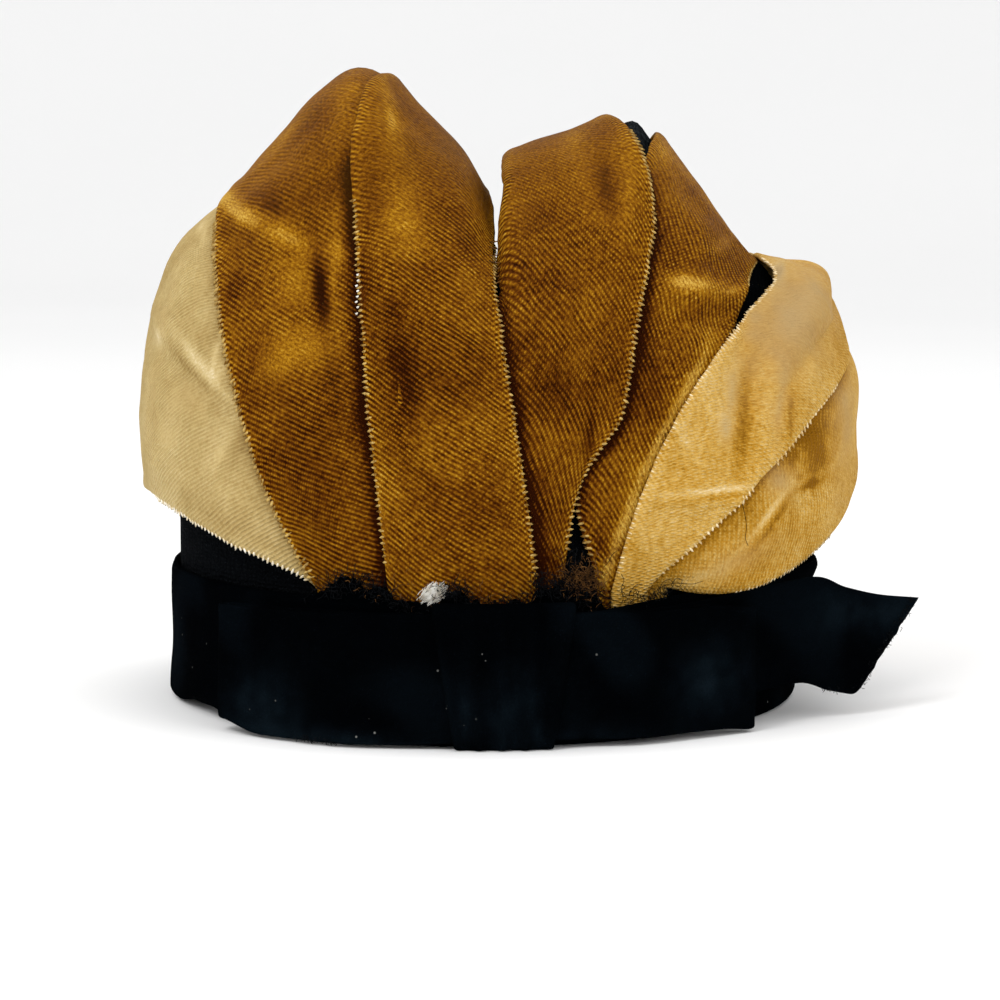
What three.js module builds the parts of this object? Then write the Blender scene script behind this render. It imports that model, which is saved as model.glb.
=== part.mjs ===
// A cocktail hat: velvet petals fanned over a black velvet crown, a black band and a flat bow with one loose tail.
//
// Millimetres, +Z up. The front faces -Y and the hat stands by itself on z = 0.
// Every piece of cloth is a thin closed wall. The petals are arches that share one form, a fan: each of its
// fibres starts in the band at the front, runs up and over the head and ends in the band at the back.
// A place on the fan is a direction, in degrees as the front shows it (180 is left, 90 is up, 0 is right),
// and a sweep, in degrees from the front foot (0) over the crest (90) to the back foot (180).

import * as THREE from 'three';
import { mergeVertices } from 'three/addons/utils/BufferGeometryUtils.js';

const MERGE = 1e-3;

// Cloth walls.
const PETAL_WALL = 1.2;
const LAYER_PITCH = 1.7;
const CROWN_WALL = 2.0;
const RIBBON_WALL = 1.2;

// The band: a ring of velvet whose inner face leaves room for the petals' feet at the front and the back.
const BAND = {
  outerX: 87, outerY: 99, innerX: 84.8, innerY: 97, height: 37, around: 48,
  dipX: 24, dipWidth: 22, dip: 3.2,
  liftAt: 209, liftWidth: 11, lift: 3.6,
  flareWidth: 18, flare: 7.2, flareFrom: 0.55,
};
const BAND_PROFILE = [
  { level: 0.00, set: -1.4 },
  { level: 0.07, set: 0.3 },
  { level: 0.50, set: -0.6 },
  { level: 0.84, set: -0.4 },
  { level: 1.00, set: -1.1 },
];

// The crown: a wall on an oval inside the band, and a dome of arches above its rim.
const CROWN = {
  halfX: 84.2, halfY: 91, rim: 48, taper: 1.6, taperFrom: 37.2,
  puff: 9, puffTop: 41, drawnIn: 0.06, columns: 26, rows: 16,
};
const CROWN_LEVELS = [2, 20, 37.2, 39, 42];
const CROWN_CREST = [
  { across: 0.00, x: -84.2, z: 48 },
  { across: 0.10, x: -84, z: 80 },
  { across: 0.20, x: -74, z: 113 },
  { across: 0.30, x: -55, z: 136 },
  { across: 0.40, x: -31, z: 143 },
  { across: 0.50, x: 0, z: 116 },
  { across: 0.58, x: 22, z: 140 },
  { across: 0.654, x: 41.2, z: 158.1 },
  { across: 0.692, x: 46.8, z: 152.4 },
  { across: 0.77, x: 62, z: 129 },
  { across: 0.85, x: 80, z: 110 },
  { across: 0.93, x: 91.5, z: 80 },
  { across: 1.00, x: 93.2, z: 48 },
];

// The fan. foot is where a fibre meets the band's oval, crest how far it reaches from the hub at the top,
// and low the reach that its lower half follows, where the lobes of the crest have died out.
const FAN = { hub: 37, footZ: 38, stemZ: 26, halfX: 84.6, halfY: 91.4, lowEnd: 0.55, crestStart: 0.95 };
const FAN_ROWS = [
  { direction: -12, foot: 49.0, crest: 88.0, low: 90 },
  { direction: 6, foot: 46.4, crest: 100.4, low: 101 },
  { direction: 13, foot: 45.4, crest: 105.2, low: 105.4 },
  { direction: 20, foot: 44.4, crest: 109.3, low: 109.0 },
  { direction: 28, foot: 43.4, crest: 115.3, low: 113 },
  { direction: 33, foot: 42.6, crest: 116.3, low: 115.3 },
  { direction: 37, foot: 41.8, crest: 117.6, low: 116 },
  { direction: 40, foot: 40.9, crest: 121.4, low: 116.5 },
  { direction: 44.5, foot: 39.0, crest: 114.7, low: 115.5 },
  { direction: 48, foot: 37.5, crest: 110.7, low: 114 },
  { direction: 53.5, foot: 35.2, crest: 112.9, low: 114.5 },
  { direction: 61.5, foot: 31.8, crest: 119.6, low: 118 },
  { direction: 67.5, foot: 29.3, crest: 126.3, low: 120.5 },
  { direction: 71, foot: 27.5, crest: 128.8, low: 120.5 },
  { direction: 73.6, foot: 26.2, crest: 125.4, low: 119.5 },
  { direction: 78, foot: 24.0, crest: 118.3, low: 117 },
  { direction: 85, foot: 18.5, crest: 111.6, low: 112.5 },
  { direction: 86.3, foot: 17.0, crest: 109.8, low: 112 },
  { direction: 89, foot: 12.8, crest: 95.0, low: 111 },
  { direction: 91, foot: 9.0, crest: 98.0, low: 112 },
  { direction: 95, foot: -2.0, crest: 112.2, low: 117 },
  { direction: 97.4, foot: -9.0, crest: 118.2, low: 120 },
  { direction: 99.6, foot: -14.5, crest: 124.0, low: 123 },
  { direction: 101.8, foot: -19.0, crest: 132.0, low: 125.5 },
  { direction: 103.2, foot: -21.6, crest: 136.0, low: 126 },
  { direction: 104.7, foot: -23.8, crest: 137.2, low: 126.5 },
  { direction: 109, foot: -28.5, crest: 133.9, low: 126.5 },
  { direction: 116.4, foot: -33.0, crest: 126.2, low: 124 },
  { direction: 125, foot: -36.2, crest: 121.0, low: 120 },
  { direction: 131.5, foot: -38.0, crest: 120.9, low: 118 },
  { direction: 139.6, foot: -39.8, crest: 115.7, low: 113.8 },
  { direction: 155.3, foot: -42.4, crest: 103.4, low: 103.4 },
  { direction: 167.4, foot: -44.0, crest: 95.0, low: 95.5 },
  { direction: 190, foot: -46.0, crest: 91.0, low: 91 },
];

// Each petal runs between two edges of the fan, given as directions at these sweeps. layer counts the
// thicknesses of cloth between it and the fan, because the petals overlap like a hand of cards.
const STATIONS = [0, 12, 25, 50, 70, 90, 120, 155, 180];
const PALE = { color: 0xd9bb80, roughness: 0.75, metalness: 0 };
const BROWN = { color: 0x8a5f1c, roughness: 0.7, metalness: 0 };
const BLACK = { color: 0x0b0c10, roughness: 0.9, metalness: 0 };
const PETALS = [
  {
    name: 'petal_left_outer', layer: 0, across: 10, finish: PALE,
    left: [150, 161, 164, 165, 166.5, 168, 166, 163, 152],
    right: [136, 133, 130, 124, 121, 118.5, 121, 128, 134],
  },
  {
    name: 'petal_left', layer: 1, across: 8, finish: BROWN,
    left: [145, 140.3, 137, 131, 128, 125.5, 128, 136, 142],
    right: [99, 99, 99.5, 99.5, 98.5, 97.5, 98.5, 99, 99],
  },
  {
    name: 'petal_front_left', layer: 2, across: 8, finish: BROWN,
    left: [103.7, 104.6, 105.5, 105.3, 103.9, 102.4, 104, 105, 104],
    right: [88.3, 88.6, 89.5, 90.9, 90.2, 90.9, 91.2, 89, 88],
  },
  {
    name: 'petal_front_right', layer: 1, across: 8, finish: BROWN,
    left: [92, 93, 94, 88.3, 86.2, 86.1, 86.6, 90, 92],
    right: [83.3, 78.5, 67.5, 67.2, 71.2, 73.4, 69, 66, 68],
  },
  {
    name: 'petal_right', layer: 0, across: 8, finish: BROWN,
    left: [67, 78.3, 75, 72.2, 69.4, 68, 69.4, 71, 73],
    right: [57, 50, 48, 46, 47.2, 47.6, 47.4, 47, 50],
  },
  {
    name: 'petal_right_inner', layer: 1, across: 8, finish: PALE,
    left: [62, 59.5, 54.6, 49, 45.4, 47.4, 47.6, 50, 54],
    right: [30, 28.6, 29, 29.5, 29.8, 36, 35, 34, 37],
  },
  {
    name: 'petal_right_outer', layer: 0, across: 9, finish: PALE,
    left: [38, 35, 33, 33, 34, 37.6, 37, 37.4, 41],
    right: [5, 0.5, 0.8, 5.2, 9.3, 15.6, 9, 5, 6],
  },
];
const PETAL_ROWS = 22;

// Folds and dents of the petals, as lines across the front view: where each runs, how wide it is, and how
// far it stands out (rise) or sinks in (a rise below zero).
const FOLDS = [
  { petal: 'petal_left_outer', fromX: -91, fromZ: 100, toX: -66, toZ: 82, width: 5, rise: -1.6 },
  { petal: 'petal_left_outer', fromX: -84, fromZ: 66, toX: -64, toZ: 60, width: 7, rise: 1.2 },
  { petal: 'petal_left', fromX: -47, fromZ: 124, toX: -42, toZ: 96, width: 6, rise: -2.2 },
  { petal: 'petal_left', fromX: -52, fromZ: 134, toX: -40, toZ: 62, width: 7, rise: 1.0 },
  { petal: 'petal_front_left', fromX: -14, fromZ: 140, toX: -4, toZ: 60, width: 9, rise: 1.6 },
  { petal: 'petal_front_right', fromX: 22, fromZ: 66, toX: 30, toZ: 96, width: 4, rise: 1.5 },
  { petal: 'petal_front_right', fromX: 12, fromZ: 60, toX: 20, toZ: 110, width: 5, rise: 0.8 },
  { petal: 'petal_right', fromX: 58, fromZ: 128, toX: 52, toZ: 92, width: 4.5, rise: 1.0 },
  { petal: 'petal_right_inner', fromX: 82, fromZ: 116, toX: 91, toZ: 102, width: 3.5, rise: 1.6 },
  { petal: 'petal_right_inner', fromX: 70, fromZ: 94, toX: 64, toZ: 75, width: 4.5, rise: -1.2 },
  { petal: 'petal_right_inner', fromX: 44, fromZ: 62, toX: 65, toZ: 61, width: 3.5, rise: 0.9 },
  { petal: 'petal_right_outer', fromX: 80, fromZ: 62, toX: 71, toZ: 50, width: 4, rise: 1.3 },
  { petal: 'petal_right_outer', fromX: 92, fromZ: 70, toX: 84, toZ: 60, width: 6, rise: -1.6 },
];

// The bow. Its pieces lie on a support line that follows the band and leaves it at tailFrom, where the
// tail runs straight on. off is a distance outward from that line.
const BOW = {
  tailFrom: 45,
  backOff: 2.65, foldRadius: 2.3, frontAtKnot: 4.1,
  knotX: 5.5, knotTop: 17.1, knotFoot: 11.8, knotHem: 0.6, knotCrest: 36.6, knotBack: 1.2, knotFront: 6.5,
  pleats: 5, pleatRise: 0.7, hemAt: [0, 0.3, 0.85, 1],
};
const LOOPS = [
  {
    name: 'bow_left_loop', knotX: 1, endX: -63.5, puff: 1.6,
    hem: [2.2, 1.1, 0.9, 3.4], top: [35, 34.4, 34, 33.5],
  },
  {
    name: 'bow_right_loop', knotX: 11, endX: 67.5, puff: 1.8,
    hem: [2.2, 2.1, 1.8, 0.9], top: [35, 34.4, 34, 33],
  },
];
const TAIL = [
  { hemX: 38, hemZ: 5, topX: 38, topZ: 33.5 },
  { hemX: 52, hemZ: 6.5, topX: 52, topZ: 34.5 },
  { hemX: 66, hemZ: 8.5, topX: 66, topZ: 36 },
  { hemX: 82.5, hemZ: 10.4, topX: 86.5, topZ: 38.4 },
  { hemX: 91, hemZ: 7.6, topX: 96, topZ: 34.8 },
  { hemX: 98, hemZ: 5.8, topX: 106, topZ: 31.9 },
  { hemX: 99.8, hemZ: 6.8, topX: 117.5, topZ: 30.0 },
];
const TAIL_OFF = 1.1;

const degrees = THREE.MathUtils.degToRad;

/** Smooth step from 0 at low to 1 at high. */
function step(low, high, value) {
  const t = THREE.MathUtils.clamp((value - low) / (high - low), 0, 1);
  return t * t * (3 - 2 * t);
}

/** Monotone cubic through points sorted by x, held level past both ends. */
function smoothCurve(xs, ys) {
  const count = xs.length;
  const gaps = xs.slice(1).map((x, i) => x - xs[i]);
  const slopes = gaps.map((gap, i) => (ys[i + 1] - ys[i]) / gap);
  const bends = xs.map((x, i) => {
    if (i === 0) return slopes[0];
    if (i === count - 1) return slopes[count - 2];
    if (slopes[i - 1] * slopes[i] <= 0) return 0;
    const after = 2 * gaps[i] + gaps[i - 1];
    const before = gaps[i] + 2 * gaps[i - 1];
    return (after + before) / (after / slopes[i - 1] + before / slopes[i]);
  });
  return (value) => {
    const x = THREE.MathUtils.clamp(value, xs[0], xs[count - 1]);
    let i = 0;
    while (i < count - 2 && x > xs[i + 1]) i += 1;
    const t = (x - xs[i]) / gaps[i];
    return (1 + 2 * t) * (1 - t) ** 2 * ys[i] + t * (1 - t) ** 2 * gaps[i] * bends[i]
      + t * t * (3 - 2 * t) * ys[i + 1] + t * t * (t - 1) * gaps[i] * bends[i + 1];
  };
}

/** One column of a table as a smooth curve over another. */
function column(rows, key, value) {
  return smoothCurve(rows.map((row) => row[key]), rows.map((row) => row[value]));
}

/** A closed mesh from flat lists, with shared corners merged and its faces turned outward. */
function closedMesh(positions, faces) {
  const loose = new THREE.BufferGeometry();
  loose.setAttribute('position', new THREE.Float32BufferAttribute(positions, 3));
  loose.setIndex(faces);
  const merged = mergeVertices(loose, MERGE);
  const at = merged.getAttribute('position');
  const kept = [];
  const corner = [new THREE.Vector3(), new THREE.Vector3(), new THREE.Vector3()];
  let volume = 0;
  for (let i = 0; i < merged.index.count; i += 3) {
    const ids = [0, 1, 2].map((k) => merged.index.getX(i + k));
    if (ids[0] === ids[1] || ids[1] === ids[2] || ids[2] === ids[0]) continue;
    ids.forEach((id, k) => corner[k].fromBufferAttribute(at, id));
    volume += corner[0].dot(corner[1].clone().cross(corner[2]));
    kept.push(ids);
  }
  merged.setIndex(kept.flatMap((ids) => (volume < 0 ? [ids[0], ids[2], ids[1]] : ids)));
  merged.computeVertexNormals();
  return merged;
}

/**
 * A closed wall between two sheets of points, outer[i][j] and inner[i][j]. The sheet may be a ring (i runs
 * round and comes back) or meet itself at both ends of i, where its columns fold onto one line.
 */
function wall(outer, inner, { ring = false, folded = false } = {}) {
  const columns = outer.length;
  const rows = outer[0].length;
  const positions = [];
  const faces = [];
  for (const sheet of [outer, inner]) {
    for (const line of sheet) {
      for (const point of line) positions.push(point.x, point.y, point.z);
    }
  }
  const id = (side, i, j) => side * columns * rows + (i % columns) * rows + j;
  const quad = (a, b, c, d) => faces.push(a, b, c, a, c, d);
  const spans = ring ? columns : columns - 1;
  for (let i = 0; i < spans; i += 1) {
    for (let j = 0; j < rows - 1; j += 1) {
      quad(id(0, i, j), id(0, i + 1, j), id(0, i + 1, j + 1), id(0, i, j + 1));
      quad(id(1, i, j), id(1, i, j + 1), id(1, i + 1, j + 1), id(1, i + 1, j));
    }
    quad(id(0, i, 0), id(1, i, 0), id(1, i + 1, 0), id(0, i + 1, 0));
    quad(id(0, i, rows - 1), id(0, i + 1, rows - 1), id(1, i + 1, rows - 1), id(1, i, rows - 1));
  }
  if (!ring && !folded) {
    for (let j = 0; j < rows - 1; j += 1) {
      quad(id(0, 0, j), id(0, 0, j + 1), id(1, 0, j + 1), id(1, 0, j));
      quad(id(0, spans, j), id(1, spans, j), id(1, spans, j + 1), id(0, spans, j + 1));
    }
  }
  return closedMesh(positions, faces);
}

/** A grid of points, one list for each column. */
function grid(columns, rows, point) {
  return Array.from({ length: columns }, (unused, i) => (
    Array.from({ length: rows }, (other, j) => point(i, j))
  ));
}

/** How far back an oval lies at x, as a positive depth. */
function ovalDepth(halfX, halfY, x) {
  return halfY * Math.sqrt(Math.max(0, 1 - (x / halfX) ** 2));
}

const fanFoot = column(FAN_ROWS, 'direction', 'foot');
const fanCrest = column(FAN_ROWS, 'direction', 'crest');
const fanLow = column(FAN_ROWS, 'direction', 'low');

/** A point of the fan. Sweeps below 0 and past 180 are the stems, straight down behind the band. */
function fanPoint(direction, sweep) {
  const turn = degrees(THREE.MathUtils.clamp(sweep, 0, 180));
  const rise = Math.sin(turn);
  const lobes = step(FAN.lowEnd, FAN.crestStart, rise);
  const reach = THREE.MathUtils.lerp(fanLow(direction), fanCrest(direction), lobes);
  const footX = fanFoot(direction);
  const crestX = reach * Math.cos(degrees(direction));
  const crestZ = FAN.hub + reach * Math.sin(degrees(direction));
  const past = Math.max(0, -sweep, sweep - 180);
  return new THREE.Vector3(
    footX + (crestX - footX) * rise,
    -ovalDepth(FAN.halfX, FAN.halfY, footX) * Math.cos(turn),
    FAN.footZ + (crestZ - FAN.footZ) * rise - past,
  );
}

/** The outward normal of the fan, level at the feet. */
function fanNormal(direction, sweep) {
  const turn = THREE.MathUtils.clamp(sweep, 0.5, 179.5);
  const across = fanPoint(direction + 0.4, turn).sub(fanPoint(direction - 0.4, turn));
  const along = fanPoint(direction, turn + 0.5).sub(fanPoint(direction, turn - 0.5));
  const normal = along.cross(across);
  normal.z *= step(0, 25, Math.min(sweep, 180 - sweep));
  return normal.normalize();
}

/** How far a petal's folds lift its cloth at a point of the front. */
function foldRise(petal, point) {
  const place = new THREE.Vector3(point.x, 0, point.z);
  const line = new THREE.Line3();
  const near = new THREE.Vector3();
  let rise = 0;
  for (const fold of FOLDS.filter((row) => row.petal === petal.name)) {
    line.start.set(fold.fromX, 0, fold.fromZ);
    line.end.set(fold.toX, 0, fold.toZ);
    line.closestPointToPoint(place, true, near);
    rise += fold.rise * Math.exp(-((near.distanceTo(place) / fold.width) ** 2));
  }
  return point.y < 0 ? rise * step(0, 20, -point.y) : 0;
}

/** A velvet petal: an arch of cloth from the front of the band to the back. */
function petalGeometry(petal) {
  const leftEdge = smoothCurve(STATIONS, petal.left);
  const rightEdge = smoothCurve(STATIONS, petal.right);
  const stem = FAN.footZ - FAN.stemZ;
  const sweeps = [-stem, ...Array.from({ length: PETAL_ROWS + 1 }, (unused, j) => (180 * j) / PETAL_ROWS), 180 + stem];
  const face = (off) => grid(petal.across + 1, sweeps.length, (i, j) => {
    const sweep = sweeps[j];
    const direction = THREE.MathUtils.lerp(leftEdge(sweep), rightEdge(sweep), i / petal.across);
    const point = fanPoint(direction, sweep);
    return point.addScaledVector(fanNormal(direction, sweep), off + foldRise(petal, point));
  });
  const inner = petal.layer * LAYER_PITCH;
  return wall(face(inner + PETAL_WALL), face(inner));
}

/** The crown's outer face: up the wall, over the dome, and down the wall at the back. */
function crownPoint(across, level) {
  const side = -Math.cos(Math.PI * across);
  const front = Math.sin(Math.PI * across);
  const taper = CROWN.taper * step(CROWN.taperFrom, CROWN.rim, level);
  const puff = CROWN.puff * Math.max(0, side) ** 3 * step(CROWN.taperFrom, CROWN.puffTop, level);
  return new THREE.Vector3(CROWN.halfX * side + puff, -(CROWN.halfY - taper) * front, level);
}

/** The black velvet crown, open below for the head. */
function crownGeometry() {
  const crestX = column(CROWN_CREST, 'across', 'x');
  const crestZ = column(CROWN_CREST, 'across', 'z');
  const rise = CROWN_LEVELS.length;
  const lines = rise + CROWN.rows + 1 + rise;
  const outer = grid(CROWN.columns + 1, lines, (i, j) => {
    const across = i / CROWN.columns;
    const back = j >= rise + CROWN.rows + 1;
    const low = back ? lines - 1 - j : j;
    if (low < rise) {
      const point = crownPoint(across, CROWN_LEVELS[low]);
      return back ? point.setY(-point.y) : point;
    }
    const turn = (Math.PI * (j - rise)) / CROWN.rows;
    const rim = crownPoint(across, CROWN.rim);
    return new THREE.Vector3(
      THREE.MathUtils.lerp(rim.x, crestX(across), Math.sin(turn)),
      rim.y * Math.cos(turn) * (1 - CROWN.drawnIn * Math.sin(turn)),
      THREE.MathUtils.lerp(rim.z, crestZ(across), Math.sin(turn)),
    );
  });
  const inner = setIn(outer, CROWN_WALL);
  return wall(outer, inner, { folded: true });
}

/** A copy of a sheet moved inward along its own normals, with points that coincide moved together. */
function setIn(sheet, distance) {
  const key = (point) => [point.x, point.y, point.z].map((value) => Math.round(value / MERGE / 2)).join();
  const normals = new Map();
  const add = (points) => {
    const face = points[1].clone().sub(points[0]).cross(points[2].clone().sub(points[0]));
    for (const point of points) {
      const sum = normals.get(key(point)) ?? new THREE.Vector3();
      normals.set(key(point), sum.add(face));
    }
  };
  for (let i = 0; i < sheet.length - 1; i += 1) {
    for (let j = 0; j < sheet[0].length - 1; j += 1) {
      add([sheet[i][j], sheet[i + 1][j], sheet[i + 1][j + 1]]);
      add([sheet[i][j], sheet[i + 1][j + 1], sheet[i][j + 1]]);
    }
  }
  return sheet.map((line, i) => line.map((point, j) => {
    const normal = normals.get(key(point)).clone();
    if (j === 0 || j === line.length - 1) normal.setZ(0);
    return point.clone().addScaledVector(normal.normalize(), -distance);
  }));
}

/** The band's top edge dips at the front, where the petals' feet go in, and its hem lifts at the left. */
function bandEdges(angle) {
  const x = BAND.outerX * Math.cos(degrees(angle));
  const front = angle > 180;
  const dip = front ? BAND.dip * Math.exp(-(((x - BAND.dipX) / BAND.dipWidth) ** 2)) : 0;
  const lift = BAND.lift * Math.exp(-(((angle - BAND.liftAt) / BAND.liftWidth) ** 2));
  return { hem: lift > 0.05 ? lift : 0, top: BAND.height - dip };
}

/** How far the band's top edge leans out, which it does at the right. */
function bandFlare(angle) {
  const turn = Math.min(angle, 360 - angle);
  return BAND.flare * Math.exp(-((turn / BAND.flareWidth) ** 2));
}

/** The black velvet band. */
function bandGeometry() {
  const ring = (halfX, halfY, set) => grid(BAND.around, BAND_PROFILE.length, (i, j) => {
    const angle = (360 * i) / BAND.around;
    const { hem, top } = bandEdges(angle);
    const { level } = BAND_PROFILE[j];
    const off = (set ? BAND_PROFILE[j].set : 0) + bandFlare(angle) * step(BAND.flareFrom, 1, level);
    return new THREE.Vector3(
      (halfX + off) * Math.cos(degrees(angle)),
      (halfY + off) * Math.sin(degrees(angle)),
      THREE.MathUtils.lerp(hem, top, level),
    );
  });
  const outer = ring(BAND.outerX, BAND.outerY, true);
  const inner = ring(BAND.innerX, BAND.innerY, false);
  return wall(outer, inner, { ring: true });
}

/** A point in plan on the bow's support line at x, moved outward by off. */
function supportPoint(x, off) {
  const slopeAt = (at) => (BAND.outerY / BAND.outerX) ** 2 * (at / ovalDepth(BAND.outerX, BAND.outerY, at));
  const held = Math.min(x, BOW.tailFrom);
  const slope = slopeAt(held);
  const y = -ovalDepth(BAND.outerX, BAND.outerY, held) + slope * (x - held);
  const outward = new THREE.Vector2(slope, -1).normalize();
  return new THREE.Vector2(x + outward.x * off, y + outward.y * off);
}

/** A ribbon along a line in plan: its wall stands on edge between a hem and a top height at each place. */
function ribbon(line, heights, closed = false) {
  const count = line.length;
  const side = line.map((point, i) => {
    const before = line[closed ? (i + count - 1) % count : Math.max(0, i - 1)];
    const after = line[closed ? (i + 1) % count : Math.min(count - 1, i + 1)];
    const along = after.clone().sub(before).normalize();
    return new THREE.Vector2(along.y, -along.x);
  });
  const face = (off) => grid(count, 3, (i, j) => {
    const point = line[i].clone().addScaledVector(side[i], off);
    return new THREE.Vector3(point.x, point.y, THREE.MathUtils.lerp(heights[i].hem, heights[i].top, j / 2));
  });
  return wall(face(RIBBON_WALL / 2), face(-RIBBON_WALL / 2), { ring: closed });
}

/** A flat loop of the bow: out along the band, round a soft fold, and back over itself to the knot. */
function loopGeometry(loop) {
  const straight = 9;
  const bend = 5;
  const toEnd = Math.sign(loop.endX - loop.knotX);
  const foldX = loop.endX - toEnd * BOW.foldRadius;
  const share = (x) => (x - loop.knotX) / (foldX - loop.knotX);
  const hem = smoothCurve(BOW.hemAt, loop.hem);
  const top = smoothCurve(BOW.hemAt, loop.top);
  const path = [];
  const put = (x, off) => path.push({ x, off });
  for (let i = 0; i < straight; i += 1) put(THREE.MathUtils.lerp(loop.knotX, foldX, i / (straight - 1)), BOW.backOff);
  for (let i = 1; i < bend; i += 1) {
    const turn = (Math.PI * i) / bend;
    put(foldX + toEnd * BOW.foldRadius * Math.sin(turn), BOW.backOff + BOW.foldRadius * (1 - Math.cos(turn)));
  }
  const frontOff = BOW.backOff + 2 * BOW.foldRadius;
  for (let i = straight - 1; i >= 0; i -= 1) {
    const x = THREE.MathUtils.lerp(loop.knotX, foldX, i / (straight - 1));
    const spread = step(0.2, 0.75, share(x));
    const puff = loop.puff * Math.sin(Math.PI * spread);
    put(x, THREE.MathUtils.lerp(BOW.frontAtKnot, frontOff, spread) + puff);
  }
  const line = path.map(({ x, off }) => supportPoint(x, off));
  const heights = path.map(({ x }) => ({ hem: hem(share(x)), top: top(share(x)) }));
  return ribbon(line, heights);
}

/** The knot: a pleated wrap of ribbon round the middle of the bow, narrower at its foot. */
function knotGeometry() {
  const { knotHem: low, knotCrest: high, knotBack: back, knotFront: front } = BOW;
  const section = [
    [back, low + 1], [back, high - 1], [back + 0.7, high], [front - 1.2, high], [front, high - 1.2],
    [front + 0.5, high * 0.75], [front + 0.8, high * 0.5], [front + 0.5, high * 0.25],
    [front, low + 1.2], [front - 1.2, low], [back + 0.7, low],
  ];
  const count = section.length;
  const normals = section.map((unused, i) => {
    const before = section[(i + count - 1) % count];
    const after = section[(i + 1) % count];
    return new THREE.Vector2(-(after[1] - before[1]), after[0] - before[0]).normalize();
  });
  const across = 12;
  const half = RIBBON_WALL / 2;
  const face = (off) => grid(count, across + 1, (i, j) => {
    const [reach, z] = section[i];
    const width = THREE.MathUtils.lerp(BOW.knotFoot, BOW.knotTop, z / high);
    const share = (2 * j) / across - 1;
    const pleat = reach > front - 0.5 ? BOW.pleatRise * Math.cos(Math.PI * BOW.pleats * share) : 0;
    const point = supportPoint(BOW.knotX + width * share, reach + normals[i].x * off + pleat);
    return new THREE.Vector3(point.x, point.y, z + normals[i].y * off);
  });
  return wall(face(half), face(-half), { ring: true });
}

/** The loose tail: it leaves the band behind the right loop and runs straight on to a slanting cut end. */
function tailGeometry() {
  const rows = 5;
  const half = RIBBON_WALL / 2;
  const face = (off) => grid(TAIL.length, rows, (i, j) => {
    const share = j / (rows - 1);
    const station = TAIL[i];
    const point = supportPoint(THREE.MathUtils.lerp(station.hemX, station.topX, share), TAIL_OFF + off);
    return new THREE.Vector3(point.x, point.y, THREE.MathUtils.lerp(station.hemZ, station.topZ, share));
  });
  return wall(face(half), face(-half));
}

/** A named mesh with its own material. */
function piece(name, geometry, finish) {
  const mesh = new THREE.Mesh(geometry, new THREE.MeshStandardMaterial(finish));
  mesh.name = name;
  return mesh;
}

/** The whole hat, set down so that the middle of its outer box stands over the origin. */
function hat() {
  const group = new THREE.Group();
  group.add(piece('crown', crownGeometry(), BLACK));
  group.add(piece('band', bandGeometry(), BLACK));
  for (const petal of PETALS) group.add(piece(petal.name, petalGeometry(petal), petal.finish));
  for (const loop of LOOPS) group.add(piece(loop.name, loopGeometry(loop), BLACK));
  group.add(piece('bow_knot', knotGeometry(), BLACK));
  group.add(piece('bow_tail', tailGeometry(), BLACK));
  const box = new THREE.Box3().setFromObject(group);
  const middle = box.getCenter(new THREE.Vector3());
  group.position.set(-middle.x, -middle.y, -box.min.z);
  group.updateMatrixWorld(true);
  return group;
}

export default hat();
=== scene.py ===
"""A velvet cocktail hat: petals fanned over a black crown, a black band and a flat bow with a loose tail.

Metres, +Z up, the bow faces -Y. The hat axis is the upright line through the middle of the band's oval. Sizes
here are measured from that axis, and every mesh is moved to it at the end.
"""

import logging
import math
from collections.abc import Iterable, Sequence
from dataclasses import dataclass
from enum import Enum
from typing import TypeVar

import bmesh
import bpy
import numpy as np
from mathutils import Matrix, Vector, noise

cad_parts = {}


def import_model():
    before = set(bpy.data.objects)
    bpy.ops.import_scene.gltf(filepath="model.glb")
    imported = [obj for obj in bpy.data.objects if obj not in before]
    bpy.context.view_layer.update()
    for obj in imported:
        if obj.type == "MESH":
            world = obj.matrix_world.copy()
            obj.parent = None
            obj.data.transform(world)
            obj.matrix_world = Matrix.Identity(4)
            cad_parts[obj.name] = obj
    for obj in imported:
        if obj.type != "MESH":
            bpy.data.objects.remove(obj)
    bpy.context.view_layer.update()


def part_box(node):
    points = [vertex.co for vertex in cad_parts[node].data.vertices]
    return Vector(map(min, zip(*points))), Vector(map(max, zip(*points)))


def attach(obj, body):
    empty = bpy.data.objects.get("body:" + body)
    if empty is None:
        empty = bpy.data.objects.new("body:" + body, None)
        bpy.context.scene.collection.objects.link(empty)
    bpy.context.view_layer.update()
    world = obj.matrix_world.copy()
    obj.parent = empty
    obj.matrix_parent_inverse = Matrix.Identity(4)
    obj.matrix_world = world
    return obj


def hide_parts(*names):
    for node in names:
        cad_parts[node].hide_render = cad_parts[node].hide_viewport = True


log = logging.getLogger("cocktail_hat")

BODY = "root"
BLACK_SLOT = "black_velvet"
Color = tuple[float, float, float]
Place = tuple[float, float, float]
Row = TypeVar("Row")


# Numbers that the whole hat shares


@dataclass(frozen=True)
class Cloth:
    """Thicknesses of the cloth, and how far apart its layers lie."""

    petal_wall: float = 0.0012
    layer_pitch: float = 0.0017
    crown_wall: float = 0.0020
    ribbon_wall: float = 0.0012
    edge_roll: float = 0.0011


@dataclass(frozen=True)
class BandSizes:
    """The band's oval, outside and inside, and how its edges wander."""

    outer_x: float = 0.0870
    outer_y: float = 0.0990
    inner_x: float = 0.0848
    inner_y: float = 0.0970
    widest: float = 0.0003
    height: float = 0.0370
    dip_x: float = 0.0240
    dip_width: float = 0.0220
    dip: float = 0.0032
    lift_at: float = 209.0
    lift_width: float = 11.0
    lift: float = 0.0036
    flare: float = 0.0072
    flare_width: float = 18.0
    flare_from: float = 0.55


CLOTH = Cloth()
BAND = BandSizes()


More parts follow.
